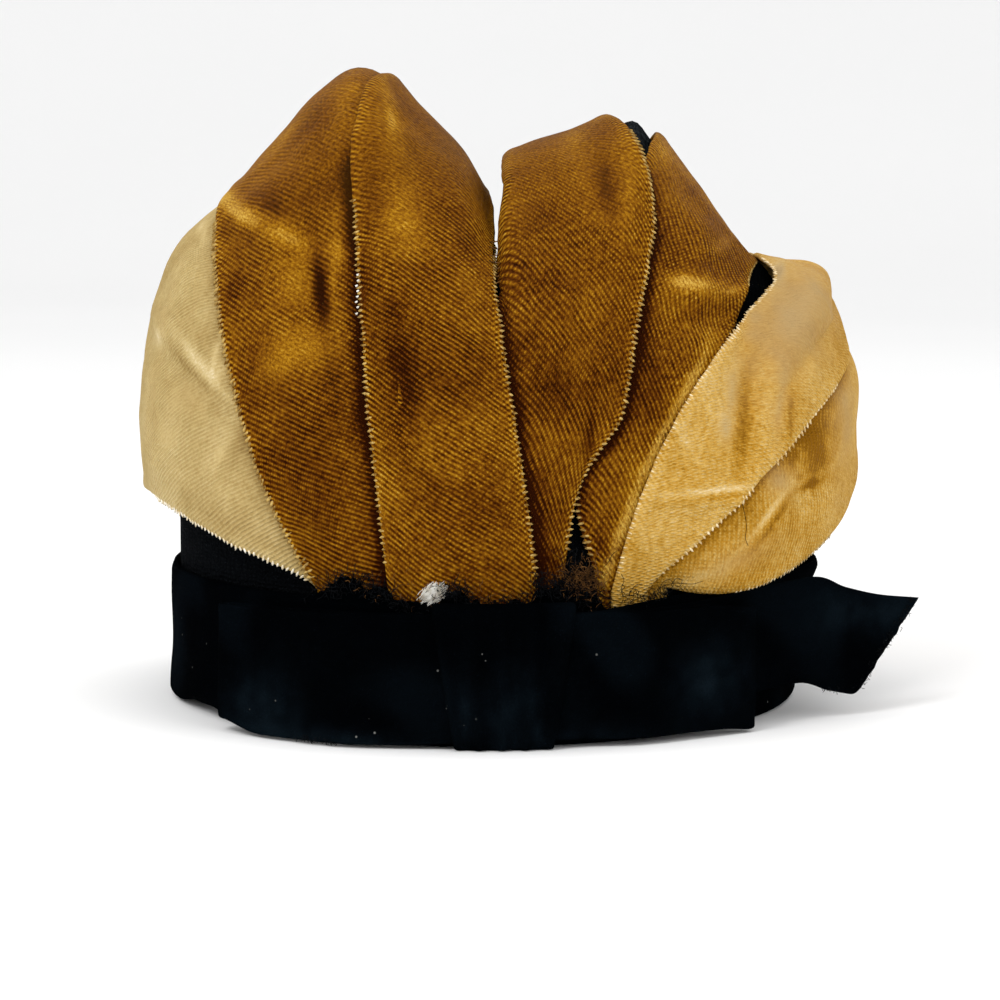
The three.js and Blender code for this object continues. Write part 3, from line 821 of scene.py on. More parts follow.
@dataclass(frozen=True)
class NapAndPaintedLight:
    """A patch of painted highlight or painted shade, where the pile also lies light or dark: its middle in
    the front view, half sizes, turn and strength.

    crush is how much it is pressed flat.
    """

    x: float
    z: float
    wide: float
    tall: float
    turn: float
    strength: float
    crush: float = 0.0


@dataclass(frozen=True)
class Run:
    """A stretch of a petal's edge that has a row of loops: on its left or right, between two sweeps."""

    side: str
    start: float
    end: float
    length: float = 0.0023
    thickness: float = 0.00082
    pitch: float = 0.00160


@dataclass(frozen=True)
class Petal:
    """A velvet petal.

    left and right are its edges' directions on the fan at the stations. layers counts thicknesses of cloth
    under them. ribs gives the slope of its ribs in the front view at its foot and at its crest, rib their
    pitch, cross the angle between them and the finer rows that break them up, and grid how far those do so.
    under names the edges that lie on it, beside which a shadow is painted: the petal, its side, and the sweep
    up to which they touch.
    """

    node: str
    dye: Dye
    layers: tuple[float, float]
    left: tuple[float, ...]
    right: tuple[float, ...]
    ribs: tuple[float, float]
    folds: tuple[Fold, ...] = ()
    patches: tuple[NapAndPaintedLight, ...] = ()
    runs: tuple[Run, ...] = ()
    under: tuple[tuple[str, str, float], ...] = ()
    grid: float = 0.4
    rib: float = 0.0012
    cross: float = 85.0


# Each petal's patches paint highlights and shade where the pile also lies light or dark, and under gives the
# painted shadow beside the edges that cover it.
PETALS = (
    Petal(
        "petal_left_outer", Dye.PALE, (0, 0),
        left=(150, 161, 164, 165, 166.5, 168, 166, 163, 152),
        right=(136, 133, 130, 124, 121, 118.5, 121, 128, 134),
        ribs=(26, 12),
        folds=records(Fold, (
            ((-0.091, 0.100), (-0.066, 0.082), 0.0050, -0.0016),
            ((-0.084, 0.066), (-0.064, 0.060), 0.0070, 0.0012),
            ((-0.092, 0.108), (-0.070, 0.096), 0.0030, 0.0006),
            ((-0.072, 0.080), (-0.060, 0.062), 0.0028, -0.0006),
            ((-0.0900, 0.1035), (-0.0660, 0.0865), 0.0016, 0.0007),
        )),
        patches=records(NapAndPaintedLight, (
            (-0.0753, 0.1279, 0.001, 0.0026, 15, 0.5, 0.6), (-0.0723, 0.1147, 0.0024, 0.0068, 0, -0.16, 0.2),
            (-0.0869, 0.1, 0.0016, 0.0024, -40, 0.75, 0.8), (-0.074, 0.095, 0.01, 0.0013, -47, 0.7, 0.7),
            (-0.0772, 0.0929, 0.0079, 0.0008, -40, -0.42), (-0.0861, 0.1064, 0.0026, 0.0016, 0, -0.3, 0.3),
            (-0.0727, 0.1007, 0.0016, 0.0026, 0, -0.3), (-0.0684, 0.0979, 0.0008, 0.0068, -12, 0.5, 0.6),
            (-0.0667, 0.0931, 0.0016, 0.0021, -40, 0.3, 0.5), (-0.0772, 0.0851, 0.0047, 0.0042, 0, -0.1, 0.6),
            (-0.0814, 0.0745, 0.0037, 0.0052, 0, 0.06, 0.5), (-0.0618, 0.076, 0.0026, 0.0079, -25, -0.3),
            (-0.0538, 0.0484, 0.0063, 0.0021, -30, -0.25), (-0.087, 0.0839, 0.001, 0.0115, 0, -0.2, 0.3),
            (-0.0684, 0.0706, 0.0021, 0.0063, -20, 0.2, 0.4),
        )),
        runs=records(Run, (("left", 3, 60, 0.0022, 0.00074, 0.00144), ("left", 106, 176))),
        under=(("petal_left", "left", 84),), grid=0.3, rib=0.00108,
    ),
    Petal(
        "petal_left", Dye.BROWN, (1, 1),
        left=(145, 140.3, 136.2, 130, 126.7, 124, 127, 136, 142),
        right=(99, 99, 99.5, 99.5, 98.5, 97.5, 98.5, 99, 99),
        ribs=(-17, -46),
        folds=records(Fold, (
            ((-0.047, 0.124), (-0.042, 0.096), 0.0060, -0.0022),
            ((-0.052, 0.134), (-0.040, 0.062), 0.0070, 0.0010),
            ((-0.072, 0.134), (-0.052, 0.126), 0.0045, 0.0012),
            ((-0.066, 0.150), (-0.050, 0.146), 0.0040, -0.0007),
            ((-0.046, 0.116), (-0.044, 0.104), 0.0028, -0.0012),
        )),
        patches=records(NapAndPaintedLight, (
            (-0.0678, 0.1349, 0.0039, 0.0029, 0, 0.8, 0.7), (-0.051, 0.1533, 0.0173, 0.0016, 42, 0.45, 0.4),
            (-0.0622, 0.1308, 0.0068, 0.0016, -24, 1.3, 0.9),
            (-0.0597, 0.1327, 0.0063, 0.0008, -22, 0.6, 0.2),
            (-0.049, 0.1263, 0.0058, 0.0024, -20, 0.75, 1.0),
            (-0.0524, 0.1334, 0.0034, 0.0021, -18, -0.85, 0.1),
            (-0.0578, 0.1379, 0.0037, 0.0021, 30, -0.15, 0.3),
            (-0.0626, 0.1249, 0.0042, 0.0021, -10, -0.12, 0.2), (-0.0412, 0.1143, 0.0016, 0.0079, 8, -2.3),
            (-0.0369, 0.1215, 0.0016, 0.0115, -4, 0.5, 0.4),
            (-0.0481, 0.1157, 0.0034, 0.0058, -20, 0.45, 0.9), (-0.0636, 0.1113, 0.0029, 0.0063, -30, -0.6),
            (-0.0461, 0.0987, 0.0076, 0.0047, 25, 0.55, 0.8),
            (-0.0523, 0.0936, 0.0042, 0.0026, 20, 0.35, 0.8), (-0.0374, 0.091, 0.0029, 0.0047, 0, -0.6, 0.1),
            (-0.0577, 0.0864, 0.0042, 0.0079, -20, -0.25), (-0.0411, 0.0695, 0.0089, 0.0173, 5, -0.5),
            (-0.0381, 0.0467, 0.0068, 0.0042, 0, -0.18), (-0.0357, 0.1605, 0.0018, 0.0079, -14, 0.3, 0.6),
            (-0.0486, 0.1578, 0.0052, 0.0042, 20, -0.2, 0.6),
        )),
        runs=records(Run, (("left", 3, 70, 0.0027, 0.00105, 0.00152), ("left", 96, 176))),
        under=(("petal_front_left", "left", 58),), grid=0.35,
    ),
    Petal(
        "petal_front_left", Dye.BROWN, (2, 2),
        left=(103.7, 104.6, 105.5, 105.3, 103.9, 102.4, 104, 105, 104),
        right=(88.3, 88.6, 89.5, 90.9, 90.2, 90.9, 91.2, 89, 88),
        ribs=(-37, -40),
        folds=records(Fold, (
            ((-0.014, 0.140), (-0.004, 0.060), 0.0090, 0.0016),
            ((-0.022, 0.092), (-0.016, 0.068), 0.0050, -0.0008),
            ((-0.0200, 0.1040), (-0.0190, 0.0860), 0.0035, -0.0010),
            ((-0.0165, 0.0700), (-0.0085, 0.0600), 0.0030, -0.0008),
        )),
        patches=records(NapAndPaintedLight, (
            (-0.0094, 0.152, 0.0157, 0.0016, -52, 0.5, 0.4), (0.0014, 0.1335, 0.0018, 0.0037, 0, 0.6, 0.4),
            (-0.0179, 0.1217, 0.0068, 0.0024, 0, 0.3, 0.2), (0.0051, 0.0441, 0.0031, 0.0052, 0, -0.35),
            (-0.0189, 0.0801, 0.0031, 0.0105, -10, -0.2), (-0.0266, 0.1552, 0.0013, 0.0047, 10, 0.95, 0.6),
            (-0.0288, 0.1631, 0.001, 0.0037, 10, 0.4, 0.4), (-0.0227, 0.1335, 0.0029, 0.0063, 6, 0.42, 0.5),
            (-0.0196, 0.1272, 0.005, 0.0034, -30, 0.36, 0.5),
            (-0.0108, 0.1499, 0.0068, 0.0089, -30, -0.2, 0.9),
            (-0.0028, 0.1357, 0.0031, 0.0063, -30, -0.25, 0.7),
            (-0.0214, 0.1454, 0.0026, 0.0037, 0, -0.15, 0.3),
            (-0.0036, 0.1122, 0.0042, 0.0079, -10, 0.22, 0.2), (-0.0139, 0.0999, 0.0115, 0.0121, 0, -0.4),
            (-0.0072, 0.1231, 0.0026, 0.0021, -30, -0.35), (-0.0296, 0.1122, 0.0016, 0.0157, -2, -0.7),
            (-0.0229, 0.1078, 0.0024, 0.0024, 0, -0.6), (-0.0202, 0.0949, 0.0029, 0.0089, 8, -0.8),
            (-0.0037, 0.0877, 0.0042, 0.0105, 0, -0.15), (-0.0242, 0.07, 0.0018, 0.0157, -3, 0.22),
            (-0.012, 0.0664, 0.0058, 0.0021, -48, -0.4), (-0.0024, 0.0679, 0.0052, 0.0037, -30, 0.16),
            (0.0089, 0.0702, 0.0021, 0.0157, -4, 0.15),
        )),
        runs=records(Run, (("right", 3, 53), ("left", 4, 50), ("left", 102, 176), ("right", 110, 176))),
        grid=0.35,
    ),
    Petal(
        "petal_front_right", Dye.BROWN, (1, 1),
        left=(92, 93, 94, 88.5, 86.5, 86.2, 84.2, 88, 91),
        right=(83.3, 78.5, 67.5, 67.2, 71.2, 73.4, 69, 66, 68),
        ribs=(-58, -50),
        folds=records(Fold, (
            ((0.022, 0.066), (0.030, 0.096), 0.0040, 0.0015),
            ((0.012, 0.060), (0.020, 0.110), 0.0050, 0.0008),
            ((0.026, 0.062), (0.027, 0.084), 0.0022, -0.0010),
            ((0.0325, 0.1440), (0.0325, 0.1270), 0.0030, -0.0010),
            ((0.0140, 0.0890), (0.0210, 0.0900), 0.0025, -0.0008),
        )),
        patches=records(NapAndPaintedLight, (
            (0.031, 0.1565, 0.0047, 0.0016, 0, 0.6, 0.5), (0.0361, 0.0784, 0.0016, 0.0084, -14, -0.35),
            (0.02, 0.153, 0.0089, 0.0021, 10, 0.2, 0.8), (0.0259, 0.1507, 0.0039, 0.0039, 10, 0.5, 0.7),
            (0.0329, 0.1407, 0.0024, 0.0073, 4, -0.85, 0.3), (0.0385, 0.1371, 0.0016, 0.0089, -4, 0.35, 0.4),
            (0.0104, 0.1459, 0.0026, 0.0031, 0, 0.1, 0.6), (0.0129, 0.1294, 0.0047, 0.0063, 0, -0.1, 0.3),
            (0.0309, 0.1214, 0.0079, 0.0031, 0, -0.12), (0.0336, 0.13, 0.0042, 0.0026, 0, 0.2, 0.3),
            (0.012, 0.1016, 0.0026, 0.0026, 0, -0.5), (0.0064, 0.107, 0.0021, 0.0063, 0, -0.35),
            (0.0173, 0.0897, 0.0042, 0.0018, -10, -0.45), (0.0242, 0.0958, 0.0052, 0.0024, 30, 0.25, 0.3),
            (0.0274, 0.0773, 0.001, 0.0089, -4, -0.9), (0.032, 0.0821, 0.0016, 0.0068, -14, 0.1),
            (0.0152, 0.0575, 0.0026, 0.0105, 4, -0.2), (0.0229, 0.0872, 0.0121, 0.0147, 0, -0.22),
            (0.019, 0.0449, 0.0031, 0.0042, 0, -0.35),
        )),
        runs=records(Run, (("right", 6, 72), ("right", 106, 176))),
        under=(("petal_front_left", "right", 52),), grid=0.58, rib=0.00128, cross=62.0,
    ),
    Petal(
        "petal_right", Dye.BROWN, (0, 0),
        left=(67, 78.3, 75, 72.2, 69.4, 68, 69.4, 71, 73),
        right=(57, 50, 48.5, 48.4, 48.3, 46.9, 46.4, 46, 50),
        ribs=(-58, -80),
        folds=records(Fold, (
            ((0.058, 0.128), (0.052, 0.092), 0.0045, 0.0010),
            ((0.050, 0.113), (0.072, 0.111), 0.0035, 0.0014),
            ((0.050, 0.106), (0.070, 0.104), 0.0040, -0.0010),
        )),
        patches=records(NapAndPaintedLight, (
            (0.0542, 0.0908, 0.0115, 0.0018, 60, 1.0, 0.2), (0.0446, 0.0741, 0.0115, 0.0018, 63, 1.1, 0.2),
            (0.0371, 0.0567, 0.0105, 0.0018, 66, 1.1, 0.2), (0.0318, 0.0437, 0.0068, 0.0018, 66, 0.9, 0.2),
            (0.0608, 0.1358, 0.0157, 0.0016, -50, 0.5, 0.3), (0.0594, 0.1237, 0.0047, 0.0034, -20, 0.35),
            (0.0478, 0.1483, 0.0024, 0.0042, -40, 0.4, 0.7), (0.057, 0.1391, 0.0021, 0.0037, -50, -0.35, 0.2),
            (0.0644, 0.1244, 0.0031, 0.0016, 25, 0.4, 0.6), (0.0619, 0.1307, 0.0026, 0.0037, -60, -0.12, 0.5),
            (0.0545, 0.1141, 0.0063, 0.0021, -14, 1.0, 0.5), (0.0513, 0.1155, 0.0026, 0.0024, 0, 0.5, 0.3),
            (0.0645, 0.1118, 0.0037, 0.0013, 8, 0.65, 0.6), (0.0575, 0.1185, 0.0047, 0.0016, 0, -0.2, 0.2),
            (0.0429, 0.1243, 0.0013, 0.0131, -4, -0.4), (0.0543, 0.1071, 0.0058, 0.0016, 10, -0.3),
            (0.0429, 0.0892, 0.0016, 0.0115, -8, -0.25), (0.0493, 0.094, 0.0026, 0.0052, 10, 0.12),
            (0.033, 0.0674, 0.0026, 0.0063, -20, -0.12), (0.0305, 0.0582, 0.0026, 0.0052, -20, 0.2, 0.3),
            (0.0297, 0.0506, 0.0016, 0.0042, 0, -0.35),
        )),
        runs=records(Run, (("left", 5, 14), ("right", 66, 84, 0.0010, 0.0006, 0.0013), ("right", 98, 176))),
        under=(("petal_front_right", "right", 66),),
        grid=0.5, rib=0.00128, cross=62.0,
    ),
    Petal(
        "petal_right_inner", Dye.HONEY, (1, 1),
        left=(60.4, 58.9, 55.4, 48.9, 44.9, 47.9, 48.6, 50, 54),
        right=(38, 29.6, 29, 29.5, 29.8, 36, 35, 34, 37),
        ribs=(20, 20),
        folds=records(Fold, (
            ((0.082, 0.116), (0.091, 0.102), 0.0035, 0.0016),
            ((0.070, 0.094), (0.064, 0.075), 0.0045, -0.0012),
            ((0.044, 0.062), (0.065, 0.061), 0.0035, 0.0009),
            ((0.077, 0.102), (0.070, 0.086), 0.0030, -0.0007),
            ((0.086, 0.092), (0.078, 0.074), 0.0035, 0.0006),
            ((0.0685, 0.090), (0.0675, 0.070), 0.0028, -0.0010),
            ((0.0470, 0.0605), (0.0650, 0.0600), 0.0014, 0.0007),
        )),
        patches=records(NapAndPaintedLight, (
            (0.0814, 0.1042, 0.0094, 0.0136, -30, -0.4, 1.4), (0.0798, 0.1141, 0.0018, 0.0047, -20, 0.3, 0.5),
            (0.088, 0.1103, 0.0021, 0.0047, -20, -0.15, 0.5),
            (0.0788, 0.1142, 0.0026, 0.0013, -30, 0.45, 0.8), (0.071, 0.1032, 0.0024, 0.0052, -10, 0.1, 0.5),
            (0.0675, 0.0814, 0.0018, 0.0126, -10, -0.55), (0.068, 0.0779, 0.001, 0.0073, -10, -0.3),
            (0.0734, 0.0807, 0.0024, 0.0105, -6, 0.34), (0.0642, 0.0865, 0.0018, 0.0068, -8, 0, 0.9),
            (0.0621, 0.0786, 0.0021, 0.0031, -8, 0.3, 0.6), (0.0788, 0.0804, 0.0005, 0.0073, -8, -0.6),
            (0.0761, 0.0826, 0.0013, 0.0073, -8, 0, 0.8), (0.0566, 0.0912, 0.0024, 0.0068, 20, 0.3, 0.1),
            (0.0518, 0.0765, 0.0021, 0.0052, 30, 0.3, 0.1), (0.0593, 0.063, 0.0105, 0.0006, 3, 0.8, 0.6),
            (0.0593, 0.0612, 0.0105, 0.0008, 3, -0.4), (0.0432, 0.0516, 0.0037, 0.0063, 18, 0.1),
            (0.0379, 0.0477, 0.001, 0.0089, 10, -0.2), (0.0479, 0.0566, 0.0037, 0.0047, 30, 0.3),
            (0.0562, 0.0714, 0.0105, 0.0115, 20, 0.14),
        )),
        runs=records(Run, (
            ("left", 3, 44, 0.0016, 0.0005, 0.0013), ("left", 44, 82, 0.0022, 0.0007, 0.0012),
            ("right", 4, 27, 0.0023, 0.00076, 0.0015), ("right", 35, 47), ("right", 47, 60, 0.0010),
            ("left", 98, 176), ("right", 100, 176),
        )),
        grid=0.95, rib=0.00092, cross=40.0,
    ),
    Petal(
        "petal_right_outer", Dye.HONEY, (0, 0),
        left=(38, 35, 33, 33, 34, 37.6, 37, 37.4, 41),
        right=(-9, -5, -1.6, 5.2, 9.3, 15.6, 9, 5, 6),
        ribs=(80, 80),
        folds=records(Fold, (
            ((0.080, 0.062), (0.071, 0.050), 0.0040, 0.0013),
            ((0.092, 0.070), (0.084, 0.060), 0.0060, -0.0008),
            ((0.098, 0.090), (0.090, 0.076), 0.0040, 0.0006),
            ((0.0845, 0.0775), (0.0940, 0.0785), 0.0035, -0.0011),
            ((0.0840, 0.0605), (0.0960, 0.0645), 0.0035, -0.0010),
        )),
        patches=records(NapAndPaintedLight, (
            (0.0869, 0.0755, 0.0045, 0.0068, -15, -1.15), (0.0907, 0.068, 0.0021, 0.0037, -20, -0.4),
            (0.0892, 0.0687, 0.0016, 0.0037, 0, -0.5), (0.0879, 0.0624, 0.0039, 0.001, 12, -1.15),
            (0.0834, 0.0649, 0.0021, 0.001, 0, -0.4), (0.0805, 0.0694, 0.0024, 0.0024, -45, -0.5),
            (0.0769, 0.0643, 0.0037, 0.0034, -35, 0, 1.0), (0.0733, 0.0559, 0.0079, 0.0007, 51, 0.8, 0.5),
            (0.0752, 0.0545, 0.0079, 0.0009, 51, -0.6), (0.0979, 0.0767, 0.0026, 0.0126, 0, -0.08, 0.7),
            (0.0956, 0.0838, 0.0021, 0.0031, 10, 0.15, 0.4), (0.0941, 0.0575, 0.0021, 0.0037, 0, 0.05, 0.3),
            (0.0656, 0.0447, 0.0105, 0.0031, 20, 0.05, 0.5), (0.0564, 0.0409, 0.0068, 0.0013, 14, 0.3, 0.2),
            (0.0806, 0.0517, 0.0031, 0.0042, 0, -0.2), (0.0695, 0.049, 0.0157, 0.0147, 0, -0.34),
            (0.094, 0.084, 0.0037, 0.0105, 0, -0.25, 0.3),
        )),
        runs=records(Run, (("right", 22, 58, 0.0019, 0.0006, 0.0013), ("right", 120, 176))),
        under=(("petal_right_inner", "right", 70),), grid=0.6,
    ),
)


@dataclass
class PetalMaker:
    """Builds the petals' cloth and the loops along their edges.

    margin gives the distances from an edge of the columns beside it. swell is the height of the welt along
    the edge. crease is the width of the painted shadow beside an edge that covers the cloth, and
    shadow_ragged how ragged it is. wanders holds how far the edges wander, in degrees, and how often.
    patch_edge roughens the patches of painted highlight and shade and of the lie of the pile, back_lie and
    back_crush give the pile of the hidden back, and worn_crest that of the high places. loops_in and
    loops_down are how far the rows of loops stand back from the edge and the outer side.
    """

    shop: Workshop
    fan: Fan
    rows: int = 250
    middle_columns: int = 42
    margin: tuple[float, ...] = (0.0, 0.00012, 0.00035, 0.0007, 0.0012, 0.0019, 0.0028)
    swell: float = 0.00030
    swell_at: float = 0.0022
    swell_width: float = 0.0016
    fine_pitch: float = 0.00090
    shadow_width: float = 0.0024
    shadow_ragged: Dents = Dents(0.5, 0.009, 41.0)
    patch_edge: Dents = Dents(0.45, 0.005, 5.0)
    back_lie: Dents = Dents(0.35, 0.030, 9.0)
    back_crush: float = 0.25
    worn_crest: float = 0.45
    worn_above: tuple[float, float] = (0.118, 0.150)
    worn_edge: Dents = Dents(0.012, 0.025, 14.0)
    wander_every: float = 6.5
    wanders: tuple[tuple[float, float], ...] = ((0.30, 1.0), (0.14, 3.1))
    dents: tuple[Dents, ...] = (Dents(0.00055, 0.019, 3.0), Dents(0.00020, 0.0068, 11.0))
    loops_in: float = 0.0004
    loops_down: float = 0.00015

    def build(self, petal: Petal) -> None:
        """Build one petal with its loops, and hide the part that it stands for."""
        stem = (self.fan.foot_z - self.fan.stem_z) * 1000
        sweeps = np.concatenate([[-stem], np.linspace(0, 180, self.rows), [180 + stem]])
        left, right = (edge[:, None] for edge in self.edges(petal, sweeps))
        column = sweeps[:, None]
        span = self.fan.point(right, column) - self.fan.point(left, column)
        width = np.linalg.norm(span, axis=-1)
        margin = np.array(self.margin)[None, :]
        inside = np.linspace(0, 1, self.middle_columns + 2)[None, 1:-1]
        reach = margin[:, -1:] / width
        share = np.concatenate([
            margin / width, reach + (1 - 2 * reach) * inside, 1 - margin[:, ::-1] / width,
        ], axis=1)
        direction = left + (right - left) * share
        sweep = np.broadcast_to(column, share.shape)
        base, normal = self.fan.point(direction, sweep), self.fan.normal(direction, sweep)
        edge = np.minimum(share, 1 - share) * width
        half = half_wall(edge, CLOTH.petal_wall, CLOTH.edge_roll)
        layer = petal.layers[0] + (petal.layers[1] - petal.layers[0]) * step(0.05, 0.4, share)
        lift = layer * CLOTH.layer_pitch + CLOTH.petal_wall / 2 + self.relief(petal, base)
        middle = base + normal * lift[..., None]
        swell = (self.swell * bump_at(edge, self.swell_at, self.swell_width))[..., None]
        outer, inner = middle + normal * (half[..., None] + swell), middle - normal * half[..., None]
        steps = np.linalg.norm(np.diff(middle[:, share.shape[1] // 2], axis=0), axis=-1)
        along = np.concatenate([[0], np.cumsum(steps)])
        u = (share - 0.5) * width
        v = np.broadcast_to(along[:, None], share.shape)
        ribs = self.ribs(petal, u, along, sweeps, (left + right)[:, 0] / 2, span[:, 0])
        shade, grid = self.shade(petal, base, sweeps), np.full_like(edge, petal.grid)
        maps = {"cloth": together(u, v), "ribs": ribs}
        numbers = {"edge": edge, "shade": shade, "grid": grid, **self.nap(petal, base)}
        rings = section(outer, inner)
        made = self.shop.mesh(
            petal.node + "_cloth", rings, tube_faces(len(sweeps), rings.shape[1], False),
            *({key: ring_values(value) for key, value in values.items()} for values in (maps, numbers)),
        )
        self.shop.dress(made, petal.dye.velvet, petal.dye.slot)
        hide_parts(petal.node)
        loops = [self.loops(petal, run, k) for k, run in enumerate(petal.runs)]
        log.info("%s: %.0f mm long, %.0f mm wide", petal.node, along[-1] * 1000, width.max() * 1000)

    def edges(self, petal: Petal, sweeps: np.ndarray) -> list[np.ndarray]:
        """Directions of a petal's left and right edge, which wander a little from their stations."""
        seed = sum(map(ord, petal.node)) * 0.37
        past_foot = step(4, 22, np.minimum(sweeps, 180 - sweeps))
        off_crest = 1 - 0.85 * bump_at(sweeps, 90, 28)
        found = []
        for k, side in enumerate((petal.left, petal.right)):
            places = together(sweeps / self.wander_every, seed, k * 9.0)
            wander = sum(far * crumple(places * faster, 1.0, 0.0) for far, faster in self.wanders)
            found.append(Curve(STATIONS, side)(sweeps) + wander * past_foot * off_crest)
        return found

    def shade(self, petal: Petal, base: np.ndarray, sweeps: np.ndarray) -> np.ndarray:
        """How deep the painted shadow is at points of a petal beside the edges that cover it, from 0 to 1."""
        depth = np.zeros(base.shape[:-1])
        for node, side, until in petal.under:
            cover = next(other for other in PETALS if other.node == node)
            edge = self.edges(cover, sweeps)[0 if side == "left" else 1]
            gap = np.linalg.norm(base - self.fan.point(edge, sweeps)[:, None], axis=-1)
            touching = 1.0 - step(until - 6, until + 4, np.minimum(sweeps, 180 - sweeps))
            ragged = 1.0 + dented(base, self.shadow_ragged)
            depth += touching[:, None] * np.exp(-((gap / (self.shadow_width * ragged)) ** 1.5))
        return depth

    def relief(self, petal: Petal, base: np.ndarray) -> np.ndarray:
        """How far the cloth stands off the fan: its folds in front, and small dents all over."""
        front = step(0.0, 0.020, -base[..., 1])
        rise = np.zeros(base.shape[:-1])
        for fold in petal.folds:
            rise += fold.rise * bump_at(segment_distance(base, fold.start, fold.end), 0.0, fold.width)
        above_band = step(0.036, 0.060, base[..., 2])
        return rise * front + dented(base, *self.dents) * above_band

    def ribs(
        self, petal: Petal, u: np.ndarray, along: np.ndarray, sweeps: np.ndarray, middle: np.ndarray,
        span: np.ndarray,
    ) -> np.ndarray:
        """Coordinates across the ribs and across the finer rows, in turns.

        Args:
            petal: The petal, whose ribs are given by their slopes in the front view.
            u: Distance from the petal's middle at [row, column].
            along: Distance from its front foot at each row.
            sweeps: The sweep of each row.
            middle: The direction of the petal's middle at each row.
            span: From the left edge to the right edge at each row.

        Returns:
            Pairs at [row, column].
        """
        low, high = (math.radians(a) for a in petal.ribs)
        slope = low + (high - low) * step(6, 66, np.minimum(sweeps, 180 - sweeps))
        top, foot = (self.fan.point(middle, np.full_like(middle, sweep)) for sweep in (90.0, 0.0))
        rise = top - foot
        rise, side = unit(rise[:, (0, 2)]), unit(span[:, (0, 2)])
        gaps = np.diff(along, prepend=0.0)
        pairs = []
        for way in ((-np.sin(slope), np.cos(slope)), (np.cos(slope), np.sin(slope))):
            way = np.stack(way, axis=-1)
            pairs.append(np.cumsum((rise * way).sum(1) * gaps)[:, None] + u * (side * way).sum(1)[:, None])
        r, t = pairs
        cross = math.radians(petal.cross)
        return together(r / petal.rib, (r * math.cos(cross) + t * math.sin(cross)) / self.fine_pitch)

    def nap(self, petal: Petal, base: np.ndarray) -> dict[str, np.ndarray]:
        """Painted highlight and shade, with the lie of the pile, and how crushed the pile is, at points of
        the fan.
        """
        front = step(-0.002, 0.012, -base[..., 1])
        lustre, crush = np.zeros(base.shape[:-1]), np.zeros(base.shape[:-1])
        ragged = dented(base, self.patch_edge)
        for patch in petal.patches:
            dx, dz = base[..., 0] - patch.x, base[..., 2] - patch.z
            turn = math.radians(patch.turn)
            a = (dx * math.cos(turn) + dz * math.sin(turn)) / patch.wide
            b = (dz * math.cos(turn) - dx * math.sin(turn)) / patch.tall
            bell = np.exp(-((a * a + b * b) ** 0.8) * (1 + ragged))
            lustre += patch.strength * bell
            crush += patch.crush * bell
        crest = self.worn_crest * step(*self.worn_above, base[..., 2] + dented(base, self.worn_edge))
        behind = 1 - front
        lustre = lustre * front + dented(base, self.back_lie) * behind
        return {"lustre": lustre, "crush": crush * front + self.back_crush * behind + crest}

    def loops(self, petal: Petal, run: Run, count: int) -> bpy.types.Object:
        """The row of small loops along a stretch of a petal's edge."""
        sweep = np.linspace(run.start, run.end, 120)
        side, beside = (0, 0.4) if run.side == "left" else (1, -0.4)
        direction = self.edges(petal, sweep)[side]
        base, normal = self.fan.point(direction, sweep), self.fan.normal(direction, sweep)
        outward = unit(self.fan.point(direction + beside, sweep) - self.fan.point(direction - beside, sweep))
        layers = petal.layers[side] * CLOTH.layer_pitch + CLOTH.petal_wall
        lift = layers + self.relief(petal, base) - self.loops_down
        path = base + normal * lift[:, None] - outward * self.loops_in
        maker = EdgeLoops(self.shop, petal.dye.edging, run.pitch, run.length, run.thickness)
        return maker.build(f"{petal.node}_{run.side}_loops_{count}", path, outward, normal, count)


# Rows of loops, made by a node tree


